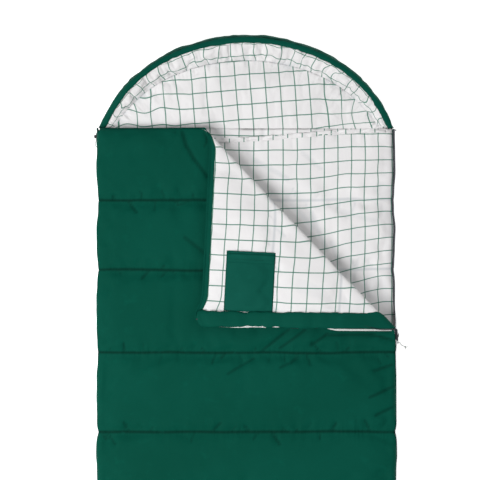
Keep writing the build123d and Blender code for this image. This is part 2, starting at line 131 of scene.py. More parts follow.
def new_object(name, verts, faces, uvs=None, smooth_faces=True):
    """A mesh object with optional flat-pattern coordinates, one pair for each vertex."""
    mesh = bpy.data.meshes.new(name)
    mesh.from_pydata([tuple(v) for v in verts], [], [tuple(f) for f in faces])
    mesh.update()
    if uvs is not None:
        layer = mesh.uv_layers.new(name="flat")
        loops = np.zeros(len(mesh.loops), int)
        mesh.loops.foreach_get("vertex_index", loops)
        layer.data.foreach_set("uv", np.asarray(uvs, np.float32)[loops].ravel())
    if smooth_faces:
        mesh.shade_smooth()
    obj = bpy.data.objects.new(name, mesh)
    bpy.context.scene.collection.objects.link(obj)
    return obj


def coords(obj):
    """The mesh's points as an array."""
    out = np.zeros(len(obj.data.vertices) * 3, np.float64)
    obj.data.vertices.foreach_get("co", out)
    return out.reshape(-1, 3)


def set_coords(obj, points):
    """Writes the mesh's points from an array."""
    obj.data.vertices.foreach_set("co", np.asarray(points, np.float32).ravel())
    obj.data.update()


def grid_faces(rows, columns, flip=False, closed=False):
    """Quads of a grid of points stored row by row."""
    faces = []
    last = columns if closed else columns - 1
    for r in range(rows - 1):
        for c in range(last):
            c2 = (c + 1) % columns
            face = (r * columns + c, r * columns + c2, (r + 1) * columns + c2, (r + 1) * columns + c)
            faces.append(face[::-1] if flip else face)
    return faces


def apply_modifiers(obj):
    """Replaces the object's mesh by what its modifiers give."""
    graph = bpy.context.evaluated_depsgraph_get()
    mesh = bpy.data.meshes.new_from_object(obj.evaluated_get(graph))
    obj.modifiers.clear()
    obj.data = mesh


def thicken(obj, thickness, offset):
    """Gives a sheet its thickness, with smooth shading."""
    solid = obj.modifiers.new("thickness", "SOLIDIFY")
    solid.thickness = thickness
    solid.offset = offset
    apply_modifiers(obj)
    obj.data.shade_smooth()


def subdivide(obj, levels=1):
    """Catmull-Clark smoothing, applied."""
    rounding = obj.modifiers.new("rounding", "SUBSURF")
    rounding.levels = levels
    rounding.render_levels = levels
    rounding.boundary_smooth = "PRESERVE_CORNERS"
    apply_modifiers(obj)
    obj.data.shade_smooth()


def rim_mask(rows, columns):
    """True along all four sides of a grid of points."""
    mask = np.zeros((rows, columns), bool)
    mask[[0, -1], :] = True
    mask[:, [0, -1]] = True
    return mask


def simulate(obj, fixed, grow, gather=None, gather_grow=0.0, pressure=0.9, frames=SIM_FRAMES):
    """Where a grid's points end up as cloth larger than its fixed points allow, blown up by its filling."""
    pins = obj.vertex_groups.new(name="pins")
    pins.add([int(i) for i in np.nonzero(fixed.ravel())[0]], 1.0, "REPLACE")
    cloth = obj.modifiers.new("cloth", "CLOTH")
    cloth.point_cache.frame_start = 1
    cloth.point_cache.frame_end = frames + 1
    settings = cloth.settings
    settings.quality = 6
    settings.mass = 0.15
    settings.air_damping = 1.0
    settings.tension_stiffness = 60
    settings.compression_stiffness = 60
    settings.shear_stiffness = 6
    settings.bending_stiffness = 0.4
    settings.tension_damping = 12
    settings.compression_damping = 12
    settings.bending_damping = 0.8
    settings.vertex_group_mass = pins.name
    settings.pin_stiffness = 1.0
    settings.use_pressure = True
    settings.uniform_pressure_force = pressure
    settings.shrink_min = -grow
    if gather is not None:
        group = obj.vertex_groups.new(name="gather")
        for index, weight in enumerate(gather):
            if weight > 0.01:
                group.add([index], float(weight), "REPLACE")
        settings.vertex_group_shrink = group.name
        settings.shrink_max = -gather_grow
    settings.effector_weights.gravity = 0
    cloth.collision_settings.use_collision = False
    scene = bpy.context.scene
    for step in range(1, frames + 1):
        scene.frame_set(step)
    graph = bpy.context.evaluated_depsgraph_get()
    result = coords(obj.evaluated_get(graph)).reshape(*fixed.shape, 3)
    obj.modifiers.clear()
    obj.vertex_groups.clear()
    scene.frame_set(1)
    return result


# ---- Quilted layers ----
COVER_SEAMS = sorted(node_seams("cover_batting"))
BOTTOM_SEAMS = sorted(node_seams("bottom_batting"))
SLIDER_Y = (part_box("zip_slider")[0].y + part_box("zip_slider")[1].y) / 2


def lines_through(stops, spacing):
    """Grid lines that include every stop, with even steps of about the spacing between them."""
    lines = [stops[0]]
    for low, high in zip(stops, stops[1:]):
        count = max(2, round((high - low) / spacing))
        lines += [low + (high - low) * (i + 1) / count for i in range(count)]
    return np.array(lines)


def round_corners(x, y, low, high, radius_foot, radius_top):
    """Pulls a rectangle's square corners in to round ones."""
    x = x.copy()
    y = y.copy()
    for sx in (-1, 1):
        for sy, radius in ((-1, radius_foot), (1, radius_top)):
            cx = (low[0] + radius) if sx < 0 else (high[0] - radius)
            cy = (low[1] + radius) if sy < 0 else (high[1] - radius)
            dx = (x - cx) * sx
            dy = (y - cy) * sy
            inside = (dx > 0) & (dy > 0)
            most = np.maximum(dx, dy)
            length = np.hypot(dx, dy)
            scale = np.where(inside & (length > 0), most / np.maximum(length, 1e-9), 1.0)
            x = np.where(inside, cx + sx * dx * scale, x)
            y = np.where(inside, cy + sy * dy * scale, y)
    return x, y


PUFF_REACH = 0.022
PUCKER = 0.0024
LAYER_GAP = 0.0013


def seam_distance(y, seams):
    """Distance along the bag to the nearest quilting seam."""
    return np.min([np.abs(y - seam) for seam in seams], axis=0)


def blurred(values, reach):
    """Box blur of a grid, held at its edges."""
    out = values
    for axis in (0, 1):
        first = np.repeat(np.take(out, [0], axis), reach, axis)
        last = np.repeat(np.take(out, [-1], axis), reach, axis)
        total = np.cumsum(np.concatenate([first, out, last], axis), axis)
        width = 2 * reach + 1
        ahead = np.take(total, range(width - 1, total.shape[axis]), axis)
        passed = np.take(total, range(total.shape[axis] - width), axis)
        behind = np.concatenate([np.zeros_like(np.take(total, [0], axis)), passed], axis)
        out = (ahead - behind) / width
    return out


def store(obj, name, values):
    """Keeps one number for each of the mesh's points, for its material to read."""
    attribute = obj.data.attributes.new(name, "FLOAT", "POINT")
    attribute.data.foreach_set("value", np.asarray(values, np.float32))


def capped(height, ceiling, margin=0.004):
    """Squeezes heights above ceiling - margin so that they never pass the ceiling."""
    over = height - (ceiling - margin)
    return np.where(over > 0, ceiling - margin * np.exp(-np.clip(over, 0, None) / margin), height)


def side_inset(y):
    """How far the bag's long edges are drawn in, most where a seam ends."""
    near = seam_distance(y, COVER_SEAMS)
    wobble = 0.0016 * noise2(y / 0.05, 0.5, 90) * (1 - np.exp(-near / 0.02))
    at_slider = np.exp(-(((y - SLIDER_Y) / 0.05) ** 2))
    return (0.0036 * np.exp(-near / 0.012) + wobble) * (1 - at_slider)


def drift(x, y):
    """How far hand-guided seams wander along the bag."""
    return 0.0032 * noise2(x / 0.19, y / 0.21, 70) + 0.0012 * noise2(x / 0.07, y / 0.21, 71)


def dent(x, y, creases):
    """Total height and total shade of creases given as start, end, height and reach."""
    height = np.zeros_like(x)
    shade = np.zeros_like(x)
    for start, end, rise, reach in creases:
        span = 3 * reach
        near = (x > min(start[0], end[0]) - span) & (x < max(start[0], end[0]) + span)
        near &= (y > min(start[1], end[1]) - span) & (y < max(start[1], end[1]) + span)
        if not near.any():
            continue
        bell = np.exp(-((line_distance(x[near], y[near], start, end) / reach) ** 2))
        height[near] += rise * bell
        shade[near] = np.maximum(shade[near], bell * min(1.0, max(0.0, -rise) / 0.004))
    return height, shade


def seam_creases(seams, low, high, seed, spacing=0.034):
    """Short slanting tucks where the quilting gathers the fabric, on both sides of each seam."""
    chance = np.random.default_rng(seed)
    creases = []
    for seam in seams:
        x = low[0] + 0.01
        while x < high[0] - 0.01:
            side = chance.choice((-1, 1))
            length = chance.uniform(0.010, 0.034)
            slant = chance.uniform(-0.9, 0.9) * length
            depth = -chance.uniform(0.0016, 0.0042)
            start = (x, seam + side * 0.002)
            creases.append((start, (x + slant, seam + side * length), depth, chance.uniform(0.0042, 0.0062)))
            x += chance.uniform(0.4, 1.6) * spacing
    return creases


def quilt_layer(
    name, low, high, seams, pin_z, crown, up, grow, extra, seed, open_top=False, cloth=True, shape=None
):
    """One face of a quilted layer, lying flat: stitched down at its edge and its seams, puffed between.

    With cloth set its folds come from a cloth simulation. Its puff comes from the filling's height, and its
    puckers from the seams. Shape adds heights and shades of its own."""
    columns = lines_through([low[0], high[0]], GRID)
    rows = lines_through([low[1]] + list(seams) + [high[1]], GRID)
    flat_x, flat_y = np.meshgrid(columns, rows)
    flat_x, flat_y = round_corners(flat_x, flat_y, low, high, FOOT_RADIUS, TOP_RADIUS)

    def from_edge(x, y):
        side = np.minimum(x - low[0], high[0] - x)
        ends = y - low[1] if open_top else np.minimum(y - low[1], high[1] - y)
        return np.clip(np.minimum(side, ends), 0, None)

    near = seam_distance(flat_y, seams)
    edge = from_edge(flat_x, flat_y)
    rise = (1 - np.exp(-near / PUFF_REACH)) * (1 - np.exp(-edge / PUFF_REACH))
    points = np.stack([flat_x, flat_y, pin_z + up * crown * rise], axis=-1)
    uvs = np.stack([flat_x, flat_y], axis=-1).reshape(-1, 2)
    obj = new_object(name, points.reshape(-1, 3), grid_faces(len(rows), len(columns), flip=up < 0), uvs)
    fixed = rim_mask(*flat_x.shape)
    fixed[np.isin(rows, seams), :] = True
    if cloth:
        weights = None if extra is None else extra(flat_x).ravel()
        result = simulate(obj, fixed, grow, weights, 0.10)
        folds = up * (result[:, :, 2] - blurred(result[:, :, 2], 3))
        slide = np.clip(result[:, :, :2] - points[:, :, :2], -SLIDE_LIMIT, SLIDE_LIMIT)
        free = ~fixed
        points[:, :, 2] += up * np.clip(folds, -0.005, 0.005) * free
        points[:, :, :2] += slide * free[:, :, None]
    set_coords(obj, points.reshape(-1, 3))
    subdivide(obj)
    points = coords(obj)
    x, y = points[:, 0].copy(), points[:, 1].copy()
    near = seam_distance(y, seams)
    edge = from_edge(x, y)
    side = np.minimum(x - low[0], high[0] - x)
    tight = np.exp(-near / 0.022) * (1 - np.exp(-near / 0.004)) * (1 - np.exp(-edge / 0.004))
    ripple = noise2(x / 0.013, y / 0.06, seed + 5) + 0.6 * noise2(x / 0.03, y / 0.08, seed + 6)
    broad = noise2(x / 0.10, y / 0.055, seed + 9) + 0.5 * noise2((x + y) / 0.05, (x - y) / 0.12, seed + 11)
    away = (1 - np.exp(-near / 0.03)) * (1 - np.exp(-edge / 0.02))
    height = up * (points[:, 2] - pin_z) + PUCKER * ripple * tight + 0.0022 * broad * away
    held = (1 - np.exp(-near / 0.004)) * (1 - np.exp(-edge / 0.006))
    tucks, shade = dent(x, y, seam_creases(seams, low, high, seed))
    height += tucks * held
    if shape is not None:
        extra_height, extra_shade = shape(x, y)
        height += extra_height * held
        shade = np.maximum(shade, extra_shade)
    height = capped(np.maximum(height, 0), crown)
    gap = STITCH_LIFT + LAYER_GAP * (1 - np.exp(-edge / 0.006))
    points[:, 2] = pin_z + up * (gap + height)
    points[:, 0] -= np.sign(x) * side_inset(y) * np.exp(-np.abs(side) / 0.02)
    points[:, 1] += drift(x, y) * (1 - np.exp(-edge / 0.03))
    set_coords(obj, points)
    # Painted shade along the seams and in the tucks and creases, which the materials darken.
    store(obj, "crease", np.maximum(np.exp(-near / 0.0045), 0.75 * shade * held))
    store(obj, "gather", np.exp(-near / 0.016) * (1 - np.exp(-edge / 0.01)))
    return obj


# ---- Folding the cover's corner ----
FOLD = joints["flap_fold"]
FOLD_AXIS = np.array(FOLD["axis"], float)
FOLD_ORIGIN = np.array(FOLD["pos_m"], float)
FOLD_OUT = np.array([FOLD_AXIS[1], -FOLD_AXIS[0], 0.0])
BEND = 0.020
CRUSH = 0.66
CRUSH_REACH = 0.060
CORNER = np.array([half_width, cover_top, FOLD_ORIGIN[2]])


def fold_distance(points):
    """Distance beyond the fold, towards the corner, in plan."""
    return (points - FOLD_ORIGIN) @ FOLD_OUT


def relax_corner(points, amount):
    """The folded corner lies flatter than the filled cover, so it spreads out, mostly at its free tip."""
    tip = CORNER - 2 * fold_distance(CORNER) * FOLD_OUT
    down = np.clip((cover_top - points[:, 1]) / (cover_top - tip[1]), 0, 1.1)
    across = np.clip((half_width - points[:, 0]) / (half_width - tip[0]), 0, 1.1)
    left = smooth(across, 0.55, 1.0)
    sag = -0.022 * down * across
    flare = 0.014 - 0.015 * np.exp(-(((down - 0.935) / 0.05) ** 2))
    moved = points.copy()
    moved[:, 0] += amount * flare * left
    moved[:, 1] += amount * sag
    return moved


def fold_over(points):
    """Turns the corner of the closed cover over its fold, where the filling is crushed thin."""
    points = np.array(points, float)
    s = fold_distance(points)
    along = (points - FOLD_ORIGIN) @ FOLD_AXIS
    depth = FOLD_ORIGIN[2] - points[:, 2]
    depth = depth * (1 - CRUSH * np.exp(-((s / CRUSH_REACH) ** 2)))
    angle = np.clip((s + BEND / 2) / BEND, 0, 1) * math.pi
    beyond = np.maximum(s - BEND / 2, 0)
    before = np.minimum(s, -BEND / 2)
    across = before + depth * np.sin(angle) - beyond
    folded = FOLD_ORIGIN + along[:, None] * FOLD_AXIS + across[:, None] * FOLD_OUT
    folded[:, 2] = FOLD_ORIGIN[2] - depth * np.cos(angle)
    return relax_corner(folded, smooth(s, 0.0, 0.03))


def soften_fold(obj, unfolded):
    """Evens out the bend, which crosses the fabric's grid at a slant."""
    near = np.exp(-((fold_distance(unfolded) / 0.022) ** 2))
    group = obj.vertex_groups.new(name="bend")
    for index in np.nonzero(near > 0.05)[0]:
        group.add([int(index)], float(near[index]), "REPLACE")
    smoothing = obj.modifiers.new("smoothing", "SMOOTH")
    smoothing.factor = 0.5
    smoothing.iterations = 7
    smoothing.vertex_group = group.name
    apply_modifiers(obj)
    obj.vertex_groups.clear()


COVER_SEAM_Z = cover_low + 0.011
FOLD_BAND = 0.0006
SHELL_CROWN = FOLD_ORIGIN[2] - FOLD_BAND - CLOTH - COVER_SEAM_Z - LAYER_GAP - STITCH_LIFT
LINING_CROWN = COVER_SEAM_Z - cover_low - LAYER_GAP
BOTTOM_SEAM_Z = bed_height / 2
BED_CROWN = bed_height - BOTTOM_SEAM_Z - LAYER_GAP


def near_zip(x):
    """Share of extra gathering beside the zip, where the tape is shorter than the fabric."""
    return smooth(x, half_width - 0.09, half_width - 0.01)


def line_distance(x, y, start, end):
    """Distance in plan from a straight piece of line."""
    ax, ay = start
    bx, by = end
    run = (bx - ax) ** 2 + (by - ay) ** 2
    t = np.clip(((x - ax) * (bx - ax) + (y - ay) * (by - ay)) / run, 0, 1)
    return np.hypot(x - ax - t * (bx - ax), y - ay - t * (by - ay))


# Creases of the cover where the folded corner drags it: start, end, height and reach.
DRAG_CREASES = (
    ((-0.182, cover_top - 0.006), (-0.173, cover_top - 0.049), 0.0060, 0.008),
    ((-0.173, cover_top - 0.049), (-0.151, cover_top - 0.089), 0.0060, 0.008),
    ((-0.151, cover_top - 0.089), (-0.124, cover_top - 0.126), 0.0055, 0.008),
    ((-0.124, cover_top - 0.126), (-0.102, cover_top - 0.150), 0.0045, 0.008),
    ((-0.172, cover_top - 0.010), (-0.162, cover_top - 0.047), -0.0055, 0.007),
    ((-0.162, cover_top - 0.047), (-0.141, cover_top - 0.084), -0.0055, 0.007),
    ((-0.141, cover_top - 0.084), (-0.106, cover_top - 0.130), -0.0050, 0.007),
    ((-0.193, cover_top - 0.001), (-0.192, cover_top - 0.010), -0.0080, 0.006),
    ((-0.116, cover_top - 0.003), (-0.106, cover_top - 0.034), -0.0070, 0.005),
    ((-0.106, cover_top - 0.034), (-0.112, cover_top - 0.050), -0.0055, 0.005),
    ((-0.330, cover_top - 0.110), (-0.200, cover_top - 0.060), 0.0030, 0.014),
    ((-0.165, 0.530), (-0.106, 0.484), -0.0034, 0.008),
    ((-0.150, 0.548), (-0.110, 0.520), 0.0026, 0.010),
    ((-0.200, 0.634), (-0.182, 0.616), -0.0040, 0.005),
    ((-0.182, 0.616), (-0.130, 0.632), -0.0036, 0.005),
    ((-0.110, 0.229), (0.017, 0.262), 0.0036, 0.010),
    ((0.112, 0.285), (0.044, 0.228), -0.0048, 0.006),
    ((0.157, 0.285), (0.089, 0.233), -0.0038, 0.006),
    ((0.217, 0.275), (0.172, 0.243), -0.0042, 0.006),
    ((0.404, 0.250), (0.337, 0.268), -0.0070, 0.006),
    ((0.337, 0.268), (0.210, 0.272), -0.0036, 0.006),
    ((0.400, 0.238), (0.310, 0.252), 0.0050, 0.010),
    ((0.340, 0.170), (0.398, 0.190), -0.0044, 0.006),
    ((0.330, 0.100), (0.398, 0.132), -0.0040, 0.006),
    ((0.345, 0.052), (0.398, 0.078), -0.0040, 0.006),
    ((0.300, 0.130), (0.370, 0.160), 0.0030, 0.012),
    ((0.020, 0.205), (-0.050, 0.165), -0.0034, 0.006),
    ((0.140, 0.208), (0.090, 0.180), -0.0034, 0.006),
)


def drag(x, y):
    """Creases dragged by the folded corner and slanting gathers beside the zip, with painted shade in the sunken
    creases.
    """
    height, shade = dent(x, y, DRAG_CREASES)
    inward = half_width - x
    slant = noise2((y - 0.45 * inward) / 0.015, inward / 0.11, 41)
    return height + 0.0042 * slant * np.exp(-inward / 0.06), shade


def soft_waves(x, y):
    """Shallow rumples of the lining, deeper near the zip, with painted shade in their hollows."""
    inward = half_width - x
    waves = 0.0026 * noise2((x + 0.5 * y) / 0.042, (y - 0.4 * x) / 0.09, 51)
    waves += 0.0035 * noise2((y - 0.5 * inward) / 0.022, inward / 0.12, 52) * np.exp(-inward / 0.09)
    return waves, np.clip(-waves / 0.006, 0, 0.5)


# Pleats of the bottom layer's lining beside the folded corner: start, end, height and reach.
BED_CREASES = (
    ((0.110, 0.640), (0.180, 0.560), -0.0050, 0.012),
    ((0.175, 0.600), (0.215, 0.500), -0.0055, 0.010),
    ((0.230, 0.520), (0.262, 0.425), -0.0060, 0.010),
    ((0.300, 0.470), (0.286, 0.400), -0.0055, 0.008),
    ((0.255, 0.600), (0.345, 0.575), -0.0035, 0.012),
    ((0.320, 0.420), (0.332, 0.345), -0.0050, 0.008),
    ((0.020, 0.740), (0.110, 0.690), -0.0040, 0.010),
    ((0.200, 0.705), (0.330, 0.690), 0.0030, 0.014),
    ((0.150, 0.760), (0.200, 0.715), -0.0038, 0.009),
)


def bed_waves(x, y):
    """Rumples of the bottom lining, with gathers under the neck band and pleats beside the folded corner, and
    painted shade in their hollows.
    """
    height, shade = soft_waves(x, y)
    pleats, dark = dent(x, y, BED_CREASES)
    below = np.clip(neck_y - 0.020 - y, 0, None)
    gathers = 0.0045 * noise2(x / 0.013, y / 0.08, 53) * np.exp(-below / 0.035)
    # Painted shade in the sunken pleats and gathers.
    folds = np.maximum(dark * 0.8, np.clip(-gathers / 0.006, 0, 0.6))
    return height + pleats + gathers, np.maximum(shade, folds)


def bend_at_fold(piece):
    """Bakes the piece's placement into its mesh; fold_over has already turned it over the fold."""
    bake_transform(piece)


def tree_of(obj):
    """Search tree of the mesh's faces."""
    faces = [tuple(face.vertices) for face in obj.data.polygons]
    return BVHTree.FromPolygons([v.co for v in obj.data.vertices], faces)


def height_at(tree, x, y, side):
    """Height of a surface seen from above, side 1, or from below, side -1."""
    hit = tree.ray_cast(Vector((x, y, side)), Vector((0, 0, -side)))[0]
    if hit is None:
        hit = tree.find_nearest(Vector((x, y, side * 0.05)))[0]
    return hit.z


def finish_cloth(piece, slot, *nodes, fill=0.5):
    """Hides the frame's nodes that a cloth piece stands for. Its slot and fill are not used."""
    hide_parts(*nodes)
    return piece


def make_cover():
    """The cover: green shell above and check lining below, with one corner folded over."""
    low = (-half_width, foot_y)
    high = (half_width, cover_top)
    shell = quilt_layer(
        "cover_shell_fabric", low, high, COVER_SEAMS, COVER_SEAM_Z, SHELL_CROWN, 1, 0.03, near_zip, 1,
        shape=drag,
    )
    lining = quilt_layer(
        "cover_lining_fabric", low, high, COVER_SEAMS, COVER_SEAM_Z, LINING_CROWN, -1, 0.03, near_zip, 2,
        shape=soft_waves,
    )
    underside = tree_of(lining)
    for piece in (shell, lining):
        unfolded = coords(piece)
        set_coords(piece, fold_over(unfolded))
        soften_fold(piece, unfolded)
        thicken(piece, CLOTH, 0)
        bend_at_fold(piece)
    finish_cloth(shell, "shell_green", "cover_shell", "cover_batting", "flap_shell", "flap_batting")
    finish_cloth(lining, "check_lining", "cover_lining", "flap_lining")
    return shell, lining, underside


def gather_flat(obj):
    """Beside the zip the tape takes in the lining, so that more of its pattern fits in the same length."""
    layer = obj.data.uv_layers["flat"]
    flat = np.zeros(len(obj.data.loops) * 2)
    layer.data.foreach_get("uv", flat)
    flat = flat.reshape(-1, 2)
    share = smooth(flat[:, 0], 0.10, half_width)
    flat[:, 1] += 0.13 * share * (flat[:, 1] - neck_y)
    flat[:, 0] += 0.020 * share
    layer.data.foreach_set("uv", flat.ravel())


def make_bottom():
    """The bottom layer: check lining above, and the green underside that rests on the ground."""
    low = (-half_width, foot_y)
    high = (half_width, neck_y)
    lining = quilt_layer(
        "bottom_lining_fabric", low, high, BOTTOM_SEAMS, BOTTOM_SEAM_Z, BED_CROWN, 1,
        0.035, None, 3, open_top=True, shape=bed_waves,
    )
    shell = quilt_layer(
        "bottom_shell_fabric", low, high, BOTTOM_SEAMS, BOTTOM_SEAM_Z, BED_CROWN, -1,
        0.03, None, 4, open_top=True, cloth=False,
    )
    gather_flat(lining)
    underside = coords(shell)
    underside[:, 2] = np.maximum(underside[:, 2], CLOTH)
    set_coords(shell, underside)
    for piece in (lining, shell):
        thicken(piece, CLOTH, 0)
        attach(piece, "bottom")
    finish_cloth(shell, "shell_green", "bottom_shell", "bottom_batting")
    finish_cloth(lining, "check_lining", "bottom_lining")
    return lining, shell


# ---- Swept pieces ----


def tube_faces(count, around):
    """Faces of a tube of count rings, with both of its ends closed."""
    ends = [tuple(range(around))[::-1], tuple((count - 1) * around + j for j in range(around))]
    return grid_faces(count, around, closed=True) + ends


def plan_sides(path):
    """Unit vectors in plan, square to the run of a path and to its right."""
    run = np.gradient(path[:, :2], axis=0)
    run /= np.maximum(np.linalg.norm(run, axis=1), 1e-9)[:, None]
    return np.stack([run[:, 1], -run[:, 0], np.zeros(len(path))], axis=1)


def path_lengths(path):
    """Distance along a path at each of its points."""
    return np.concatenate([[0], np.cumsum(np.linalg.norm(np.diff(path, axis=0), axis=1))])


def even_path(path, step):
    """The same path with points at even steps."""
    path = np.asarray(path, float)
    along = path_lengths(path)
    stops = np.linspace(0, along[-1], max(2, int(along[-1] / step)) + 1)
    return np.stack([np.interp(stops, along, path[:, k]) for k in range(path.shape[1])], axis=1)


def tube_mesh(name, path, width, height, seed, swell=0.08, around=18, taper=0.02, step=0.006):
    """A soft flattened tube along a path, rounded at its ends, gathered by small puckers."""
    path = even_path(path, step)
    along = path_lengths(path)
    reach = np.minimum(along, along[-1] - along)
    cap = np.sqrt(np.clip(1 - np.clip(1 - reach / taper, 0, 1) ** 2, 0.0004, 1))
    bump = 1 + swell * (noise2(along / 0.014, 0.3, seed) + 0.6 * noise2(along / 0.05, 4.1, seed))
    angle = np.linspace(0, 2 * math.pi, around, endpoint=False)
    flat = np.sign(np.cos(angle)) * np.abs(np.cos(angle)) ** 0.8
    tall = np.sign(np.sin(angle)) * np.abs(np.sin(angle)) ** 0.8
    pucker = 1 + 0.06 * noise2(along[:, None] / 0.008, angle[None, :] * 1.2, seed + 1)
    scale = (cap * bump)[:, None] * pucker
    sides = plan_sides(path)[:, None, :]
    points = path[:, None, :] + sides * (flat * width / 2 * scale)[:, :, None]
    points = points + UPWARD * (tall * height / 2 * scale)[:, :, None]
    girth = angle / (2 * math.pi) * width * 2.2
    uvs = np.stack(np.broadcast_arrays(along[:, None], girth[None, :]), axis=-1)
    return new_object(name, points.reshape(-1, 3), tube_faces(len(path), around), uvs.reshape(-1, 2))


def strip_mesh(name, path, ups, width, thickness, height_of=None, rows=4, seed=0, pucker=0.0):
    """A flat band along a path. ups are the directions across it, one for each point or one for all."""
    path = np.asarray(path, float)
    ups = np.broadcast_to(np.asarray(ups, float), path.shape)
    along = path_lengths(path)
    share = np.linspace(-0.5, 0.5, rows + 1)
    points = path[:, None, :] + ups[:, None, :] * (share * width)[None, :, None]
    if height_of is not None:
        for row in points:
            for point in row:
                point[2] = height_of(point[0], point[1])
    wave = pucker * noise2(along[:, None] / 0.008, share[None, :] * 3, seed) * (0.3 + np.abs(share))[None, :]
    points[:, :, 2] += wave
    uvs = np.stack(np.broadcast_arrays(along[:, None], (share * width)[None, :]), axis=-1)
    obj = new_object(name, points.reshape(-1, 3), grid_faces(len(path), rows + 1), uvs.reshape(-1, 2))
    thicken(obj, thickness, 0)
    return obj


def wire_mesh(name, centres, toward, radius, around=5):
    """Round wire through many points. toward is any direction that the wire never runs along."""
    tangent = np.gradient(centres, axis=0)
    tangent /= np.maximum(np.linalg.norm(tangent, axis=1), 1e-12)[:, None]
    first = np.cross(tangent, toward)
    first /= np.maximum(np.linalg.norm(first, axis=1), 1e-12)[:, None]
    second = np.cross(tangent, first)
    angle = np.linspace(0, 2 * math.pi, around, endpoint=False)
    points = centres[:, None, :] + radius * (
        first[:, None, :] * np.cos(angle)[None, :, None] + second[:, None, :] * np.sin(angle)[None, :, None]
    )
    return new_object(name, points.reshape(-1, 3), tube_faces(len(centres), around))


# Cross-sections along one stitch: place along it, half width and lift, as shares of its size.
STITCH_SECTIONS = ((-0.5, 0.25, -0.2), (-0.3, 0.5, 0.6), (0.3, 0.5, 0.6), (0.5, 0.25, -0.2))


def stitch_mesh(name, rows, height_of, pitch=0.0042, length=0.0030, width=0.0006):
    """Rows of stitches lying on top of a surface. rows are paths in plan."""
    verts = []
    faces = []
    for row in rows:
        path = even_path(np.asarray(row, float), pitch)
        run = np.gradient(path, axis=0)
        run /= np.maximum(np.linalg.norm(run, axis=1), 1e-9)[:, None]
        for (x, y), (dx, dy) in zip(path, run):
            base = len(verts)
            z = height_of(x, y)
            for share, half, lift in STITCH_SECTIONS:
                cx = x + dx * length * share
                cy = y + dy * length * share
                for s, drop in ((-half, 0.0), (0.0, 1.0), (half, 0.0)):
                    top = z + width * lift * (0.4 + drop)
                    verts.append((cx - dy * s * width, cy + dx * s * width, top))
            for k in range(3):
                for c in range(2):
                    a = base + 3 * k + c
                    faces.append((a, a + 1, a + 4, a + 3))
    return new_object(name, np.array(verts), faces)


# ---- The bag's edge, in plan ----


def edge_path(step=0.006):
    """The outside of the layers, from the top left corner round the foot to the top right corner."""
    r = FOOT_RADIUS
    points = [(-half_width, cover_top)]
    for centre_x, first in ((-half_width + r, math.pi), (half_width - r, 1.5 * math.pi)):
        for turn in np.linspace(first, first + math.pi / 2, 9):
            points.append((centre_x + r * math.cos(turn), foot_y + r + r * math.sin(turn)))
    points.append((half_width, cover_top))
    return even_path(np.array(points), step)


EDGE = edge_path()
EDGE_OUT = plan_sides(np.column_stack([EDGE, np.zeros(len(EDGE))]))
ZIP_FOOT_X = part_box("zip_tape_bottom")[0].x
ZIP_TOP_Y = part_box("zip_coil_bottom")[1].y
FOLD_END_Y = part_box("zip_coil_cover")[1].y
ON_FOOT = (EDGE[:, 1] < foot_y + FOOT_RADIUS) & (EDGE[:, 0] > ZIP_FOOT_X)
ON_RIGHT = EDGE[:, 0] > half_width - 0.001
ZIPPED = ON_FOOT | ON_RIGHT
TAPE_OUT = 0.0007
COIL_OUT = 0.0021
COIL_LOW = (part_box("zip_coil_bottom")[0].z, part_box("zip_coil_bottom")[1].z + 0.0013)
COIL_HIGH = (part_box("zip_coil_cover")[0].z - 0.0013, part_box("zip_coil_cover")[1].z)
TAPE_LEAN = 0.007


def lean(y):
    """How far the open tape leans over the lining above the slider."""
    return TAPE_LEAN * smooth(y, FOLD_END_Y + 0.01, FOLD_END_Y + 0.09)


def tucked(y):
    """Share by which the folded corner's tape is tucked under its draft tube, away from the fold."""
    return smooth(y, FOLD_END_Y + 0.035, FOLD_END_Y + 0.12)


def edge_run(mask, out, height):
    """Points along the edge, moved outward and set at a height."""
    path = np.column_stack([EDGE, np.full(len(EDGE), height)]) + EDGE_OUT * out
    inset = side_inset(path[:, 1]) * smooth(np.abs(EDGE[:, 0]), half_width - 0.02, half_width)
    path[:, 0] -= np.sign(path[:, 0]) * inset * (EDGE[:, 1] > foot_y + FOOT_RADIUS)
    return path[mask]


def coil_mesh(name, mask, low, high, phase, lower):
    """The zip's coil: one turn of nylon wire for each tooth along the edge."""
    pitch = 0.0026
    path = even_path(edge_run(mask, COIL_OUT, (low + high) / 2), pitch / 9)
    if lower:
        path[:, 0] -= lean(path[:, 1])
    else:
        path[:, 0] -= 0.0150 * tucked(path[:, 1])
        path[:, 2] += 0.0068 * tucked(path[:, 1])
    out = plan_sides(path)
    turn = np.arange(len(path)) * (2 * math.pi / 9) + phase
    centres = path + out * (0.0010 * np.cos(turn))[:, None]
    centres[:, 2] += (high - low - 0.0007) / 2 * np.sin(turn)
    run = np.cross(UPWARD, out)
    return wire_mesh(name, centres, run, 0.00036)


def make_side_fold():
    """Where one fabric turns round the left side from the bottom layer to the cover."""
    mask = ~ZIPPED
    path = edge_run(mask, 0, 0)
    out = EDGE_OUT[mask]
    along = path_lengths(path)
    low = BOTTOM_SEAM_Z - 0.0006
    high = COVER_SEAM_Z + 0.0008
    share = np.linspace(0, 1, 9)
    bulge = 0.0030 * np.sin(share * math.pi) ** 0.7
    near = seam_distance(path[:, 1], COVER_SEAMS)
    full = (1 - 0.8 * np.exp(-near / 0.02))[:, None] * (1 + 0.35 * noise2(along / 0.03, 1.0, 61))[:, None]
    points = path[:, None, :] + out[:, None, :] * (bulge[None, :] * full - 0.0008)[:, :, None]
    points[:, :, 2] = low + (high - low) * share[None, :]
    uvs = np.stack(np.broadcast_arrays(along[:, None], (share * (high - low))[None, :]), axis=-1)
    obj = new_object(
        "side_fold_fabric", points.reshape(-1, 3), grid_faces(len(path), len(share)), uvs.reshape(-1, 2)
    )
    subdivide(obj)
    thicken(obj, CLOTH, 0)
    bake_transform(obj)
    return obj


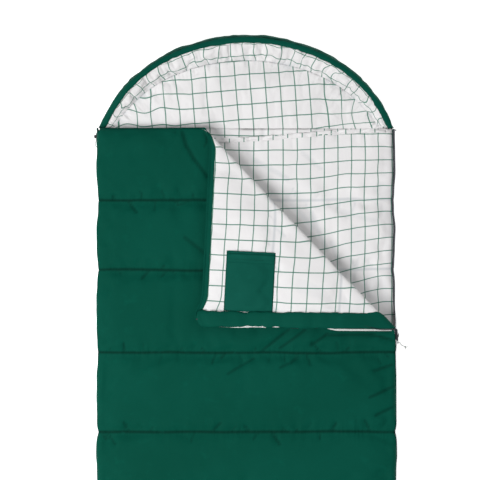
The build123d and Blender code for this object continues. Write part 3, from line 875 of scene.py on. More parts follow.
def make_zip():
    """Tapes and coils of both sides of the zip."""
    pieces = {}
    below = ZIPPED & (EDGE[:, 1] < ZIP_TOP_Y + 0.006)
    tape_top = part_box("zip_tape_bottom")[1].z
    low_z = BOTTOM_SEAM_Z - 0.0004
    path = edge_run(below, TAPE_OUT, (low_z + tape_top) / 2)
    ups = np.tile(UPWARD, (len(path), 1))
    ups[:, 0] -= lean(path[:, 1]) / (tape_top - low_z)
    path[:, 0] -= lean(path[:, 1]) / 2
    tape = strip_mesh("zip_tape_lower", path, ups, tape_top - low_z, 0.0006, seed=71, pucker=0.0003)
    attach(tape, "bottom")
    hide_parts("zip_tape_bottom")
    pieces["zip_tape_lower"] = tape
    coil = coil_mesh("zip_coil_lower", below & (EDGE[:, 1] < ZIP_TOP_Y), *COIL_LOW, 0.0, True)
    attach(coil, "bottom")
    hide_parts("zip_coil_bottom")
    pieces["zip_coil_lower"] = coil
    above = ZIPPED & (EDGE[:, 1] < cover_top - 0.004)
    tape_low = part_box("zip_tape_cover")[0].z
    high_z = COVER_SEAM_Z + 0.0004
    path = edge_run(above, TAPE_OUT, (high_z + tape_low) / 2)
    share = tucked(path[:, 1])
    ups = np.column_stack([0.70 * share, np.zeros(len(path)), 1 - 0.60 * share])
    path[:, 0] -= 0.0068 * share
    path[:, 2] += 0.0040 * share
    tape = strip_mesh("zip_tape_upper", path, ups, high_z - tape_low, 0.0006, seed=72, pucker=0.0003)
    coil = coil_mesh("zip_coil_upper", above, *COIL_HIGH, math.pi, False)
    stands_for = {tape: ("zip_tape_cover", "zip_tape_flap"), coil: ("zip_coil_cover", "zip_coil_flap")}
    for piece, nodes in stands_for.items():
        set_coords(piece, fold_over(coords(piece)))
        bend_at_fold(piece)
        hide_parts(*nodes)
        pieces[piece.name] = piece
    return pieces


# ---- Pieces sewn to the lining side of the cover ----
HEM_WIDTH = 0.016
HEM_START_X = -0.394
TUBE_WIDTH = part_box("draft_tube_side")[1].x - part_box("draft_tube_side")[0].x
TUBE_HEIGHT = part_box("draft_tube_side")[1].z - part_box("draft_tube_side")[0].z
TUBE_X = (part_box("draft_tube_side")[0].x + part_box("draft_tube_side")[1].x) / 2


def make_lining_trim(underside):
    """Hem, draft tubes and snag strip, laid on the closed cover's lining and folded with it."""
    def below(depth):
        return lambda x, y: height_at(underside, x, y, -1) - depth

    pieces = {}
    hem_y = cover_top + 0.0012 - HEM_WIDTH / 2
    path = even_path([(x, hem_y, 0) for x in (HEM_START_X, half_width - 0.004)], 0.006)
    hem = strip_mesh(
        "top_hem_strip", path, (0, 1, 0), HEM_WIDTH, 0.0012, below(0.0012), seed=81, pucker=0.0016
    )
    set_coords(hem, fold_over(coords(hem)))
    bend_at_fold(hem)
    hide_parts("cover_hem", "flap_hem")
    pieces["hem"] = hem

    low_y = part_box("draft_tube_side")[0].y
    ys = np.arange(low_y, FOLD_END_Y - 0.04, 0.03)
    run = [(TUBE_X, y, below(TUBE_HEIGHT * 0.40)(TUBE_X, y)) for y in ys]
    side = tube_mesh("draft_tube_lower", run, TUBE_WIDTH, TUBE_HEIGHT * 0.8, 82)
    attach(side, "cover")
    finish_cloth(side, "shell_green", "draft_tube_side", fill=0.6)
    pieces["tube_lower"] = side

    ys = np.linspace(FOLD_END_Y + 0.012, cover_top + 0.002, 40)
    run = [(TUBE_X + 0.0055, y, below(TUBE_HEIGHT * 0.44)(TUBE_X, y)) for y in ys]
    upper = tube_mesh(
        "draft_tube_upper", run, TUBE_WIDTH + 0.004, TUBE_HEIGHT * 1.2, 83, swell=0.09, taper=0.008
    )
    points = coords(upper)
    near_fold = smooth(points[:, 1], ys[0] + 0.06, ys[0])
    slope = FOLD_AXIS[1] / FOLD_AXIS[0]
    points[:, 1] += (points[:, 0] - TUBE_X - 0.0055) * slope * near_fold
    set_coords(upper, fold_over(points))
    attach(upper, "flap")
    finish_cloth(upper, "shell_green", "draft_tube_flap", fill=0.6)
    pieces["tube_upper"] = upper

    snag_y = np.arange(FOLD_END_Y + 0.014, cover_top - 0.02, 0.006)
    along = snag_y - FOLD_END_Y
    swing = 0.0044 - 0.0090 * smooth(along, 0.16, 0.21) + 0.0040 * smooth(along, 0.33, 0.36)
    swing = swing + 0.0016 * noise2(along / 0.022, along * 0, 85) * smooth(along, 0.16, 0.21)
    snag_z = below(0.0085)(half_width - 0.004, FOLD_END_Y + 0.1)
    path = np.column_stack([half_width + swing - 0.0010, snag_y, np.full(len(snag_y), snag_z)])
    snag = strip_mesh("snag_guard_strip", path, (1, 0, 0), 0.0050, 0.0009, rows=2, seed=84, pucker=0.0008)
    set_coords(snag, fold_over(coords(snag)))
    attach(snag, "flap")
    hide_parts("snag_strip")
    pieces["snag"] = snag
    return pieces


# ---- Pocket ----
POCKET_WIDTH = 0.130
POCKET_LENGTH = 0.160
POCKET_CENTRE = np.array([(a + b) / 2 for a, b in zip(*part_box("inner_pocket"))])
POCKET_TURN = math.radians(-3)
BAND_WIDTH = 0.024


def pocket_point(u, v):
    """Plan position of a point of the pocket, u across and v down from its opening, in metres."""
    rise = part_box("inner_pocket")[1].y - 0.003 - v - POCKET_CENTRE[1]
    return (
        POCKET_CENTRE[0] + u * math.cos(POCKET_TURN) - rise * math.sin(POCKET_TURN),
        POCKET_CENTRE[1] + u * math.sin(POCKET_TURN) + rise * math.cos(POCKET_TURN),
    )


def pocket_patch(name, tree, width, length, lift, thickness, gape, start=0.0):
    """A patch stitched to the surface in tree on three sides, open at its top."""
    columns = np.linspace(-width / 2, width / 2, 33)
    rows = np.linspace(start, start + length, max(5, int(length / 0.004)))
    verts = []
    for v in rows:
        for u in columns:
            x, y = pocket_point(u, v)
            inside = min(width / 2 - abs(u), start + length - v)
            puff = gape * (1 - math.exp(-max(inside, 0) / 0.012))
            puff *= 0.6 + 0.4 * float(noise2(u / 0.03, v / 0.03, 91)) + 0.5 * math.exp(-v / 0.02)
            verts.append((x, y, height_at(tree, x, y, 1) + lift + max(puff, 0)))
    uvs = [(u, v) for v in rows for u in columns]
    faces = grid_faces(len(rows), len(columns), flip=True)
    obj = new_object(name, np.array(verts), faces, np.array(uvs))
    thicken(obj, thickness, 0)
    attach(obj, "flap")
    return obj


def make_pocket(lining):
    """The inner pocket on the folded corner's lining, and the folded band along its opening."""
    tree = tree_of(lining)
    pocket = pocket_patch("pocket_patch", tree, POCKET_WIDTH, POCKET_LENGTH, 0.0008, 0.0008, 0.0026)
    band = pocket_patch(
        "pocket_hem_band", tree, POCKET_WIDTH - 0.001, BAND_WIDTH, 0.0028, 0.0012, 0.0034, start=0.007
    )
    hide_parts("inner_pocket")
    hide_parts("pocket_band")
    return pocket, band


# ---- Hood ----
def hood_edge():
    """The hood's outside in plan, from its left corner over the crown to its right corner."""
    node = frame["nodes"]["hood_base_shell"]
    points = np.array([node.matrix_world @ v.co for v in node.data.vertices])
    rim = points[(points[:, 2] < 0.0002) & (points[:, 1] > neck_y + 0.002)][:, :2]
    rim = np.unique(np.round(rim, 5), axis=0)
    rim = rim[np.argsort(-np.arctan2(rim[:, 1] - neck_y, rim[:, 0]))]
    ends = np.array([[-half_width, neck_y]]), np.array([[half_width, neck_y]])
    return even_path(np.vstack([ends[0], rim, ends[1]]), 0.006)


HOOD = hood_edge()
HOOD_ALONG = path_lengths(HOOD)
HOOD_SHARE = HOOD_ALONG / HOOD_ALONG[-1]
HOOD_IN = plan_sides(np.column_stack([HOOD, np.zeros(len(HOOD))]))[:, :2]
WALL_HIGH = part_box("hood_wall_shell")[1].z
WALL_SLOPE = 0.45
CROWN_SHARE = np.sin(np.pi * HOOD_SHARE)
SEAM_INSET = 0.036 + 0.034 * CROWN_SHARE ** 0.8
BAND_INSET = 0.0165 + 0.0085 * CROWN_SHARE ** 0.5
TUBE_THICK = 0.0125
HOOD_OVERLAP = 0.002


def hood_ring(inset):
    """The hood's edge moved inward, in plan."""
    ring = HOOD + HOOD_IN * np.broadcast_to(inset, len(HOOD))[:, None]
    ring[:, 1] = np.maximum(ring[:, 1], neck_y + NECK_CLEARANCE)
    return ring


def wall_height(y):
    """Top of the wall, which slopes down to the neck at both corners."""
    return bed_height + np.clip((y - neck_y - 0.006) * WALL_SLOPE, 0.0, WALL_HIGH - bed_height)


def hood_panel(name, ring, z, crown, up, rows, seed, cloth):
    """A flat panel between the neck and a ring of the hood, with its check turned a little."""
    share = np.concatenate([[0.0, 0.006], np.linspace(0.03, 1, rows - 2)])[:, None]
    x = np.broadcast_to(ring[:, 0], (rows, len(ring)))
    y = neck_y - HOOD_OVERLAP + share * (ring[:, 1] - neck_y + HOOD_OVERLAP)[None, :]
    edge = np.minimum((1 - share) * (ring[:, 1] - neck_y)[None, :], half_width * CROWN_SHARE[None, :] * 0.6)
    edge = np.minimum(edge, share * (ring[:, 1] - neck_y)[None, :])
    rise = 1 - np.exp(-np.clip(edge, 0, None) / 0.02)
    rumple = 0.0022 * noise2((x + 0.3 * y) / 0.05, (y - 0.3 * x) / 0.06, seed)
    gather = 0.0016 * noise2(x / 0.012, y / 0.09, seed + 1) * np.exp(-edge / 0.03)
    height = z + up * (crown * rise + (rumple + gather) * rise)
    sides = smooth(np.abs(x), 0.14, 0.28)
    bunched = noise2((x + y) / 0.032, (x - y) / 0.05, seed + 4)
    height = height + up * crown / 0.0065 * 0.0042 * sides * rise * bunched
    height = np.maximum(height, CLOTH)
    turn = math.radians(-4.5)
    rumpled_x = x + 0.010 * sides * noise2(x / 0.06, y / 0.06, seed + 2)
    rumpled_y = y + 0.012 * sides * noise2(x / 0.05, y / 0.07, seed + 3)
    u = rumpled_x * math.cos(turn) - (rumpled_y - neck_y) * math.sin(turn)
    v = rumpled_y * math.cos(turn) + rumpled_x * math.sin(turn)
    points = np.stack([x, y, height], axis=-1)
    uvs = np.stack([u, v], -1).reshape(-1, 2)
    obj = new_object(name, points.reshape(-1, 3), grid_faces(rows, len(ring), flip=up < 0), uvs)
    if cloth:
        result = simulate(obj, rim_mask(rows, len(ring)), 0.035, pressure=0.25, frames=16)
        points[:, :, 2] = np.maximum(result[:, :, 2], z) * 0.5 + points[:, :, 2] * 0.5
        points[:, :, :2] += np.clip(result[:, :, :2] - points[:, :, :2], -SLIDE_LIMIT, SLIDE_LIMIT)
        set_coords(obj, points.reshape(-1, 3))
    subdivide(obj)
    if up > 0:
        ring_tucks(obj)
    thicken(obj, CLOTH, 0)
    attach(obj, "hood")
    return obj


def ring_tucks(obj):
    """Tucks across the seam between the hood's flat middle and its wall, fading away from the seam, with painted
    shade along the seam and in the tucks.
    """
    points = coords(obj)
    ring = hood_ring(SEAM_INSET)
    steps = points[:, None, :2] - ring[None, ::2, :]
    squares = (steps ** 2).sum(axis=2)
    nearest = np.argmin(squares, axis=1)
    distance = np.sqrt(squares[np.arange(len(points)), nearest])
    along = HOOD_ALONG[::2][nearest]
    tuck = noise2(along / 0.011, distance / 0.05, 141) + 0.6 * noise2(along / 0.024, distance / 0.06, 142)
    fade = np.exp(-distance / 0.024)
    points[:, 2] += 0.0034 * tuck * fade * (1 - np.exp(-distance / 0.003))
    points[:, 2] = np.maximum(points[:, 2], bed_height - 0.0012)
    set_coords(obj, points)
    shade = 0.55 * np.exp(-distance / 0.004) + 0.5 * np.clip(-tuck, 0, 1) * fade
    store(obj, "crease", np.clip(shade, 0, 1))


def hood_wall_lining():
    """The gathered lining that climbs from the seam ring to the rim."""
    rows = 13
    share = np.linspace(0, 1, rows)[:, None]
    start = hood_ring(SEAM_INSET)
    end = hood_ring(BAND_INSET - 0.003)
    plan = start[None, :, :] * (1 - share[:, :, None]) + end[None, :, :] * share[:, :, None]
    top = wall_height(end[:, 1])[None, :]
    low = bed_height + STITCH_LIFT
    z = low + np.maximum(top - low, 0.002) * (1 - (1 - share) ** 1.9)
    along = HOOD_ALONG[None, :]
    middle = np.sin(share * math.pi)
    gather = noise2(along / 0.012, share * 1.4, 101) * 0.0030 * middle ** 0.6
    gather = gather + noise2(along / 0.045, share * 1.2, 103) * 0.0035 * middle
    points = np.concatenate([plan, (z + gather)[:, :, None]], axis=-1)
    spread = along * 1.08 + 0.008 * noise2(along / 0.05, share * 2, 102)
    uvs = np.stack(np.broadcast_arrays(spread, share * 0.075), axis=-1).reshape(-1, 2)
    obj = new_object("hood_wall_lining_fabric", points.reshape(-1, 3), grid_faces(rows, len(HOOD)), uvs)
    result = simulate(obj, rim_mask(rows, len(HOOD)), 0.16, pressure=0.35, frames=20)
    moved = np.clip(result - points, -0.010, 0.010)
    points = points + moved
    points[:, :, 2] = np.clip(points[:, :, 2], low, np.maximum(top + 0.003, low))
    set_coords(obj, points.reshape(-1, 3))
    subdivide(obj)
    ring_tucks(obj)
    thicken(obj, CLOTH, 0)
    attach(obj, "hood")
    return obj


def hood_wall_shell():
    """The gathered outside of the wall, from the ground to the rim."""
    shares = np.array([0.0, 0.16, 0.36, 0.56, 0.75, 0.90, 1.0])
    insets = np.array([0.005, 0.0012, 0.0, 0.0010, 0.0035, 0.0068, 0.0105])
    along = HOOD_ALONG[None, :]
    puff = noise2(along / 0.028, shares[:, None] * 1.5, 111)
    puff = puff + 0.7 * noise2(along / 0.011, shares[:, None] * 2, 112)
    inset = insets[:, None] + 0.0016 * (puff + 0.6) * np.sin(np.clip(shares, 0.1, 0.95) * math.pi)[:, None]
    plan = HOOD[None, :, :] + HOOD_IN[None, :, :] * inset[:, :, None]
    plan[:, :, 1] = np.maximum(plan[:, :, 1], neck_y + NECK_CLEARANCE)
    top = wall_height(HOOD[:, 1])[None, :] + 0.001
    z = 0.0008 + (top - 0.0008) * shares[:, None]
    points = np.concatenate([plan, z[:, :, None]], axis=-1)
    uvs = np.stack(np.broadcast_arrays(along, shares[:, None] * 0.07), axis=-1).reshape(-1, 2)
    obj = new_object(
        "hood_wall_shell_fabric", points.reshape(-1, 3), grid_faces(len(shares), len(HOOD), flip=True), uvs
    )
    # Painted shade along the top rows of the wall, in the groove under the rim tube.
    shade = np.where(shares > 0.95, 0.9, np.where(shares > 0.85, 0.35, 0.0))
    store(obj, "crease", np.repeat(shade, len(HOOD)))
    store(obj, "gather", np.full(len(shares) * len(HOOD), 0.6))
    subdivide(obj)
    thicken(obj, CLOTH, 0)
    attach(obj, "hood")
    return obj


def make_hood():
    """The D-shaped hood: flat middle, gathered wall, and a rim tube with its drawcord."""
    panel = hood_panel(
        "hood_middle_lining_fabric", hood_ring(SEAM_INSET), bed_height + 0.0010, 0.0060, 1, 34, 121, True
    )
    base = hood_panel("hood_base_shell_fabric", hood_ring(0.0048), 0.0012, 0.0, -1, 16, 122, False)
    wall = hood_wall_lining()
    outside = hood_wall_shell()
    centre = hood_ring(BAND_INSET - TUBE_THICK / 2)
    z = wall_height(centre[:, 1]) + 0.0035
    path = np.column_stack([centre, z])
    rim = tube_mesh(
        "hood_rim_tube", path, TUBE_THICK + 0.0025, 0.0095, 123,
        swell=0.10, around=16, taper=0.006, step=0.004,
    )
    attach(rim, "hood")
    cord_path = even_path(path, 0.006)
    drawcord = wire_mesh("hood_drawcord_line", cord_path[3:-3], UPWARD, 0.0013, around=8)
    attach(drawcord, "hood")
    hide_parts("hood_drawcord")
    finish_cloth(panel, "check_lining", "hood_base_lining", "hood_base_batting")
    finish_cloth(base, "shell_green", "hood_base_shell")
    finish_cloth(wall, "check_lining", "hood_wall_lining", "hood_wall_batting")
    finish_cloth(outside, "shell_green", "hood_wall_shell")
    finish_cloth(rim, "shell_green", "hood_rim", fill=0.8)
    return {
        "panel": panel, "base": base, "wall": wall, "outside": outside, "rim": rim, "drawcord": drawcord,
    }


# ---- Neck band ----
def make_neck_band(tree):
    """The narrow band over the seam between the bottom layer's lining and the hood."""
    lo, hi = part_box("neck_band")
    xs = np.arange(lo.x, hi.x, 0.005)
    slope = 0.027 * smooth(xs, -0.08, 0.38)
    width = hi.y - lo.y
    path = np.column_stack([xs, neck_y - 0.001 - width / 2 - 0.026 + slope, np.zeros(len(xs))])
    band = strip_mesh(
        "neck_band_strip", path, (0, 1, 0), width, 0.0009,
        lambda x, y: height_at(tree, x, min(y, neck_y - 0.001), 1) + 0.0010, seed=131, pucker=0.0050,
    )
    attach(band, "bottom")
    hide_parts("neck_band")
    return band


# ---- Cords ----


def nurbs_line(points):
    """Points along the open NURBS spline that has the route as its control points."""
    curve = bpy.data.curves.new("route", "CURVE")
    curve.dimensions = "3D"
    spline = curve.splines.new("NURBS")
    spline.points.add(len(points) - 1)
    for point, place in zip(spline.points, points):
        point.co = (*place, 1)
    spline.order_u = 3
    spline.use_endpoint_u = True
    spline.resolution_u = 24
    holder = bpy.data.objects.new("route", curve)
    bpy.context.scene.collection.objects.link(holder)
    graph = bpy.context.evaluated_depsgraph_get()
    mesh = bpy.data.meshes.new_from_object(holder.evaluated_get(graph))
    line = np.array([v.co for v in mesh.vertices])
    bpy.data.objects.remove(holder)
    return line


def braided_cord(name, route, diameter):
    """A round braided cord along its route, with the line that it follows."""
    line = nurbs_line(route)
    path = even_path(line, diameter / 9)
    around = 24
    obj = wire_mesh(name, path, np.array([0.31, 0.52, 0.79]), diameter / 2, around=around)
    points = coords(obj).reshape(len(path), around, 3)
    run = path_lengths(path)[:, None] / diameter * 2.2
    turn = np.linspace(0, 2 * math.pi, around, endpoint=False)[None, :]
    relief = np.maximum(np.cos(4 * turn + 2 * run), np.cos(4 * turn - 2 * run))
    points = path[:, None, :] + (points - path[:, None, :]) * (0.93 + 0.07 * relief)[:, :, None]
    set_coords(obj, points.reshape(-1, 3))
    return obj, line


DRAWCORD_ROUTE = (
    (-0.4019, 0.8173, 0.0240),
    (-0.4019, 0.8128, 0.0240),
    (-0.4059, 0.8075, 0.0200),
    (-0.4059, 0.7880, 0.0200),
    (-0.4086, 0.7805, 0.0170),
    (-0.4070, 0.7725, 0.0125),
    (-0.4000, 0.7725, 0.0125),
)
DRAWCORD_DIAMETER = 0.0024
PULL_ROUTE = (
    (0.4064, 0.2464, 0.0330),
    (0.4115, 0.2464, 0.0330),
    (0.4150, 0.2435, 0.0270),
    (0.4165, 0.2410, 0.0185),
    (0.4185, 0.2390, 0.0105),
    (0.4215, 0.2370, 0.0050),
    (0.4275, 0.2340, 0.0036),
)
PULL_DIAMETER = 0.0020


def knot_mesh():
    """A tight overhand knot with two short tails."""
    lo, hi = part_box("pull_knot")
    centre = np.array([(a + b) / 2 for a, b in zip(lo, hi)])
    turn = np.linspace(0, 2 * math.pi, 60)
    across = np.sin(turn) + 2 * np.sin(2 * turn)
    upright = np.cos(turn) - 2 * np.cos(2 * turn)
    loop = np.stack([across, upright, -np.sin(3 * turn)], 1)
    loop = loop * np.array([0.00062, 0.00062, 0.00085])
    first = wire_mesh("pull_cord_knot", loop + centre, np.array([0.01, 0.02, 1.0]), 0.00095, around=8)
    tails = []
    for k, heading in enumerate((-0.9, -0.35)):
        reach = np.linspace(0.001, 0.0075, 9)
        bend = heading + 0.5 * reach / 0.0075 * (1 if k else -1)
        tail = centre + np.stack([np.cos(bend) * reach, np.sin(bend) * reach, -0.0013 * reach / 0.0075], 1)
        tails.append(wire_mesh("tail", tail, UPWARD, 0.0009, around=8))
    with bpy.context.temp_override(active_object=first, selected_editable_objects=[first, *tails]):
        bpy.ops.object.join()
    return first


def make_spring():
    """The cord lock's coil spring, which shortens as its button is pressed."""
    lo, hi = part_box("lock_spring")
    wire = 0.0003
    turns = 3
    turn = np.linspace(0, turns * 2 * math.pi, turns * 24)
    radius = (hi.x - lo.x) / 2 - wire
    rise = lo.z + wire + (hi.z - lo.z - 2 * wire) * turn / turn[-1]
    centres = np.stack(
        [(lo.x + hi.x) / 2 + radius * np.cos(turn), (lo.y + hi.y) / 2 + radius * np.sin(turn), rise], axis=1
    )
    spring = wire_mesh("lock_coil_spring", centres, UPWARD, wire, around=8)
    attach(spring, "cord_lock")
    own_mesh(spring)
    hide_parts("lock_spring")
    return spring


def make_cords():
    """Both free cords, made where the frame has them."""
    loop, line = braided_cord("drawcord_loop_cord", DRAWCORD_ROUTE, DRAWCORD_DIAMETER)
    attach(loop, "bottom")
    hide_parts("drawcord_loop")
    pull, line = braided_cord("pull_cord_line", PULL_ROUTE, PULL_DIAMETER)
    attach(pull, "pull")
    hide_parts("pull_cord")
    knot = knot_mesh()
    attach(knot, "pull")
    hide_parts("pull_knot")
    return loop, pull, knot


# ---- Materials ----


class Look:
    """A procedural material under construction."""

    def __init__(self, name):
        self.material = bpy.data.materials.new(name)
        self.material.use_nodes = True
        self.tree = self.material.node_tree
        self.shader = self.tree.nodes["Principled BSDF"]

    def node(self, kind, inputs=(), **settings):
        made = self.tree.nodes.new(kind)
        for key, value in settings.items():
            setattr(made, key, value)
        for socket, value in dict(inputs).items():
            if isinstance(value, bpy.types.NodeSocket):
                self.tree.links.new(value, made.inputs[socket])
            else:
                made.inputs[socket].default_value = value
        return made

    def calc(self, operation, a, b=0.0):
        return self.node("ShaderNodeMath", {0: a, 1: b}, operation=operation).outputs[0]

    def mix(self, share, a, b):
        return self.node("ShaderNodeMix", {0: share, 6: a, 7: b}, data_type="RGBA").outputs[2]

    def ramp(self, value, low, high, to_low=0.0, to_high=1.0):
        inputs = {0: value, 1: low, 2: high, 3: to_low, 4: to_high}
        return self.node("ShaderNodeMapRange", inputs).outputs[0]

    def noise(self, place, scale, detail=3.0):
        return self.node("ShaderNodeTexNoise", {"Vector": place, "Scale": scale, "Detail": detail}).outputs[0]

    def flat(self):
        return self.node("ShaderNodeUVMap", uv_map="flat").outputs[0]

    def place(self):
        return self.node("ShaderNodeTexCoord").outputs["Object"]

    def split(self, vector):
        return self.node("ShaderNodeSeparateXYZ", {0: vector}).outputs

    def bump(self, height, distance, strength, normal=None):
        inputs = {"Height": height, "Distance": distance, "Strength": strength}
        if normal is not None:
            inputs["Normal"] = normal
        return self.node("ShaderNodeBump", inputs).outputs[0]

    def weave(self, place, pitch, slant=0.0):
        """Over and under threads of a plain weave, or of a twill where slanted."""
        parts = self.split(place)
        along = self.calc("SINE", self.calc("MULTIPLY", parts[0], 2 * math.pi / pitch))
        shift = self.calc("MULTIPLY", parts[0], slant * 2 * math.pi / pitch)
        turn = self.calc("ADD", self.calc("MULTIPLY", parts[1], 2 * math.pi / pitch), shift)
        return self.calc("MULTIPLY", along, self.calc("SINE", turn))

    def finish(self, colour, roughness, normal, **constants):
        self.tree.links.new(colour, self.shader.inputs["Base Color"])
        self.tree.links.new(roughness, self.shader.inputs["Roughness"])
        self.tree.links.new(normal, self.shader.inputs["Normal"])
        for name, value in constants.items():
            self.shader.inputs[name.replace("_", " ")].default_value = value
        return self.material


def rgba(red, green, blue):
    return (red, green, blue, 1.0)


def shell_look(name, base, light, seams=True, pitch=0.0006):
    """Brushed polyester taffeta: fine weave, soft rumples, and painted shade in the stitched creases and tucks."""
    look = Look(name)
    flat = look.flat()
    place = look.place()
    wide = look.noise(place, 5.0, 4.0)
    fine = look.noise(place, 420.0, 2.0)
    colour = look.mix(look.ramp(wide, 0.35, 0.65, 0.15, 0.85), rgba(*base), rgba(*light))
    threads = look.weave(flat, pitch)
    colour = look.mix(look.ramp(threads, -1, 1, 0.0, 0.22), colour, rgba(*(0.55 * c for c in base)))
    if seams:
        # Painted shade: the colour darkens along the seams and in the creases and tucks.
        crease = look.node("ShaderNodeAttribute", attribute_name="crease").outputs["Fac"]
        colour = look.mix(look.ramp(crease, 0.25, 1.0, 0.0, 0.80), colour, rgba(*(0.28 * c for c in base)))
    worn = look.ramp(look.noise(place, 38.0, 6.0), 0.60, 0.80, 0.0, 0.35)
    colour = look.mix(worn, colour, rgba(*(1.25 * c for c in light)))
    rough = look.ramp(fine, 0.2, 0.8, 0.62, 0.82)
    rumple = look.bump(look.noise(place, 26.0, 5.0), 0.004, 0.30)
    if seams:
        gather = look.node("ShaderNodeAttribute", attribute_name="gather").outputs["Fac"]
        stretched = look.node("ShaderNodeMapping", {"Vector": flat, "Scale": (95.0, 22.0, 1.0)}).outputs[0]
        tucks = look.calc("MULTIPLY", look.noise(stretched, 1.0, 2.0), gather)
        rumple = look.bump(tucks, 0.006, 0.55, rumple)
    normal = look.bump(threads, 0.00006, 0.5, rumple)
    return look.finish(
        colour, rough, normal, Specular_IOR_Level=0.05, Sheen_Weight=0.06, Sheen_Roughness=0.45,
        Sheen_Tint=rgba(0.02, 0.40, 0.30),
    )


def check_look(name):
    """Brushed cotton-like lining, off-white with a thin green windowpane check woven in."""
    look = Look(name)
    flat = look.flat()
    place = look.place()
    wander = look.calc("MULTIPLY", look.calc("SUBTRACT", look.noise(flat, 900.0, 1.0), 0.5), 0.00045)
    lines = []
    half_line = LINE_WIDTH / CHECK / 2
    for part in look.split(flat)[:2]:
        cell = look.calc("FRACT", look.calc("DIVIDE", look.calc("ADD", part, wander), CHECK))
        off = look.calc("ABSOLUTE", look.calc("SUBTRACT", cell, 0.5))
        lines.append(look.ramp(off, half_line + 0.006, half_line - 0.006, 0.0, 1.0))
    either = look.calc("MAXIMUM", *lines)
    both = look.calc("MULTIPLY", *lines)
    wide = look.noise(place, 9.0, 3.0)
    ground = look.mix(look.ramp(wide, 0.3, 0.7), rgba(0.84, 0.825, 0.83), rgba(0.90, 0.885, 0.89))
    threads = look.weave(flat, 0.0008)
    ground = look.mix(look.ramp(threads, -1, 1, 0.0, 0.10), ground, rgba(0.60, 0.61, 0.62))
    # Painted shade: blue-grey darkening along the seams and in the creases and tucks.
    crease = look.node("ShaderNodeAttribute", attribute_name="crease").outputs["Fac"]
    ground = look.mix(look.ramp(crease, 0.25, 1.0, 0.0, 0.45), ground, rgba(0.36, 0.42, 0.46))
    colour = look.mix(look.calc("MULTIPLY", either, 0.88), ground, rgba(0.012, 0.185, 0.115))
    colour = look.mix(look.calc("MULTIPLY", both, 0.6), colour, rgba(0.004, 0.09, 0.055))
    lint = look.ramp(look.noise(place, 700.0, 3.0), 0.3, 0.7, 0.80, 0.95)
    rumple = look.bump(look.noise(place, 34.0, 5.0), 0.004, 0.35)
    nap = look.bump(look.noise(place, 1500.0, 2.0), 0.00010, 0.35, rumple)
    normal = look.bump(threads, 0.00008, 0.5, nap)
    return look.finish(
        colour, lint, normal, Specular_IOR_Level=0.15, Sheen_Weight=0.12, Sheen_Roughness=0.6
    )


def tape_look(name, base, pitch=0.0009):
    """Tightly woven tape with a herringbone run along it."""
    look = Look(name)
    flat = look.flat()
    parts = look.split(flat)
    chevron = look.calc("PINGPONG", parts[1], 0.0022)
    run = look.calc("ADD", parts[0], look.calc("MULTIPLY", chevron, 1.4))
    ridge = look.calc("SINE", look.calc("MULTIPLY", run, 2 * math.pi / pitch))
    # Painted shade and light: darker in the weave's grooves, lighter on its ridges.
    colour = look.mix(look.ramp(ridge, -1, 1), rgba(*(0.6 * c for c in base)), rgba(*(1.3 * c for c in base)))
    wear = look.ramp(look.noise(look.place(), 60.0, 4.0), 0.6, 0.8, 0.0, 0.15)
    colour = look.mix(wear, colour, rgba(*(c + 0.05 for c in base)))
    rough = look.ramp(look.noise(look.place(), 300.0), 0.2, 0.8, 0.62, 0.80)
    normal = look.bump(ridge, 0.00012, 0.6)
    return look.finish(colour, rough, normal, Specular_IOR_Level=0.2, Sheen_Weight=0.05)


def hard_look(name, base, rough, wear, metal=0.0, spec=0.5):
    """Moulded or cast material with slight grain, and wear on a share of its surface."""
    look = Look(name)
    place = look.place()
    worn = look.ramp(look.noise(place, 240.0, 5.0), 0.58, 0.74)
    colour = look.mix(look.calc("MULTIPLY", worn, 0.5), rgba(*base), rgba(*wear))
    roughness = look.ramp(look.noise(place, 500.0, 4.0), 0.2, 0.8, rough - 0.07, rough + 0.10)
    normal = look.bump(look.noise(place, 900.0, 3.0), 0.00008, 0.4)
    return look.finish(
        colour, roughness, normal, Metallic=metal, Specular_IOR_Level=spec, Coat_Weight=0.0
    )


def braid_look(name, base, pitch=0.0016):
    """Braided cord: crossing strands seen as slanted ribs."""
    look = Look(name)
    parts = look.split(look.place())
    ribs = []
    for slant in (1.0, -1.0):
        run = look.calc("ADD", parts[1], parts[0])
        turn = look.calc("ADD", run, look.calc("MULTIPLY", parts[2], slant * 1.6))
        ribs.append(look.calc("SINE", look.calc("MULTIPLY", turn, 2 * math.pi / pitch)))
    braid = look.calc("MAXIMUM", *ribs)
    # Painted shade between the strands, the raised ribs kept at the full colour.
    colour = look.mix(look.ramp(braid, -1, 1), rgba(*(0.55 * c for c in base)), rgba(*base))
    rough = look.ramp(look.noise(look.place(), 800.0), 0.2, 0.8, 0.6, 0.8)
    normal = look.bump(braid, 0.00015, 0.7)
    return look.finish(colour, rough, normal, Specular_IOR_Level=0.3, Sheen_Weight=0.05)


def floor_look():
    """Plain pale studio sheet, lit so brightly that it reads as white."""
    look = Look("floor_pale")
    tone = look.noise(look.place(), 3.0)
    colour = look.mix(tone, rgba(0.93, 0.93, 0.93), rgba(0.96, 0.96, 0.96))
    rough = look.ramp(tone, 0.0, 1.0, 0.85, 0.95)
    look.shader.inputs["Emission Color"].default_value = rgba(1, 1, 1)
    normal = look.bump(tone, 0.0005, 0.05)
    return look.finish(colour, rough, normal, Specular_IOR_Level=0.0, Emission_Strength=0.75)


def paint(obj, material):
    """Gives the whole piece one material."""
    obj.data.materials.clear()
    obj.data.materials.append(material)


# ---- Camera ----
VIEW_HIGH = 5.06
VIEW_DISTANCE = 5.0
VIEW_WIDE = 1.2845
VIEW_AIM = (-0.0174, 0.5221)
camera_data = bpy.data.cameras.new("camera")
camera_data.sensor_fit = "HORIZONTAL"
camera_data.angle = 2 * math.atan(VIEW_WIDE / 2 / VIEW_DISTANCE)
camera = bpy.data.objects.new("camera", camera_data)
camera.location = (*VIEW_AIM, VIEW_HIGH)
bpy.context.scene.collection.objects.link(camera)
bpy.context.scene.camera = camera

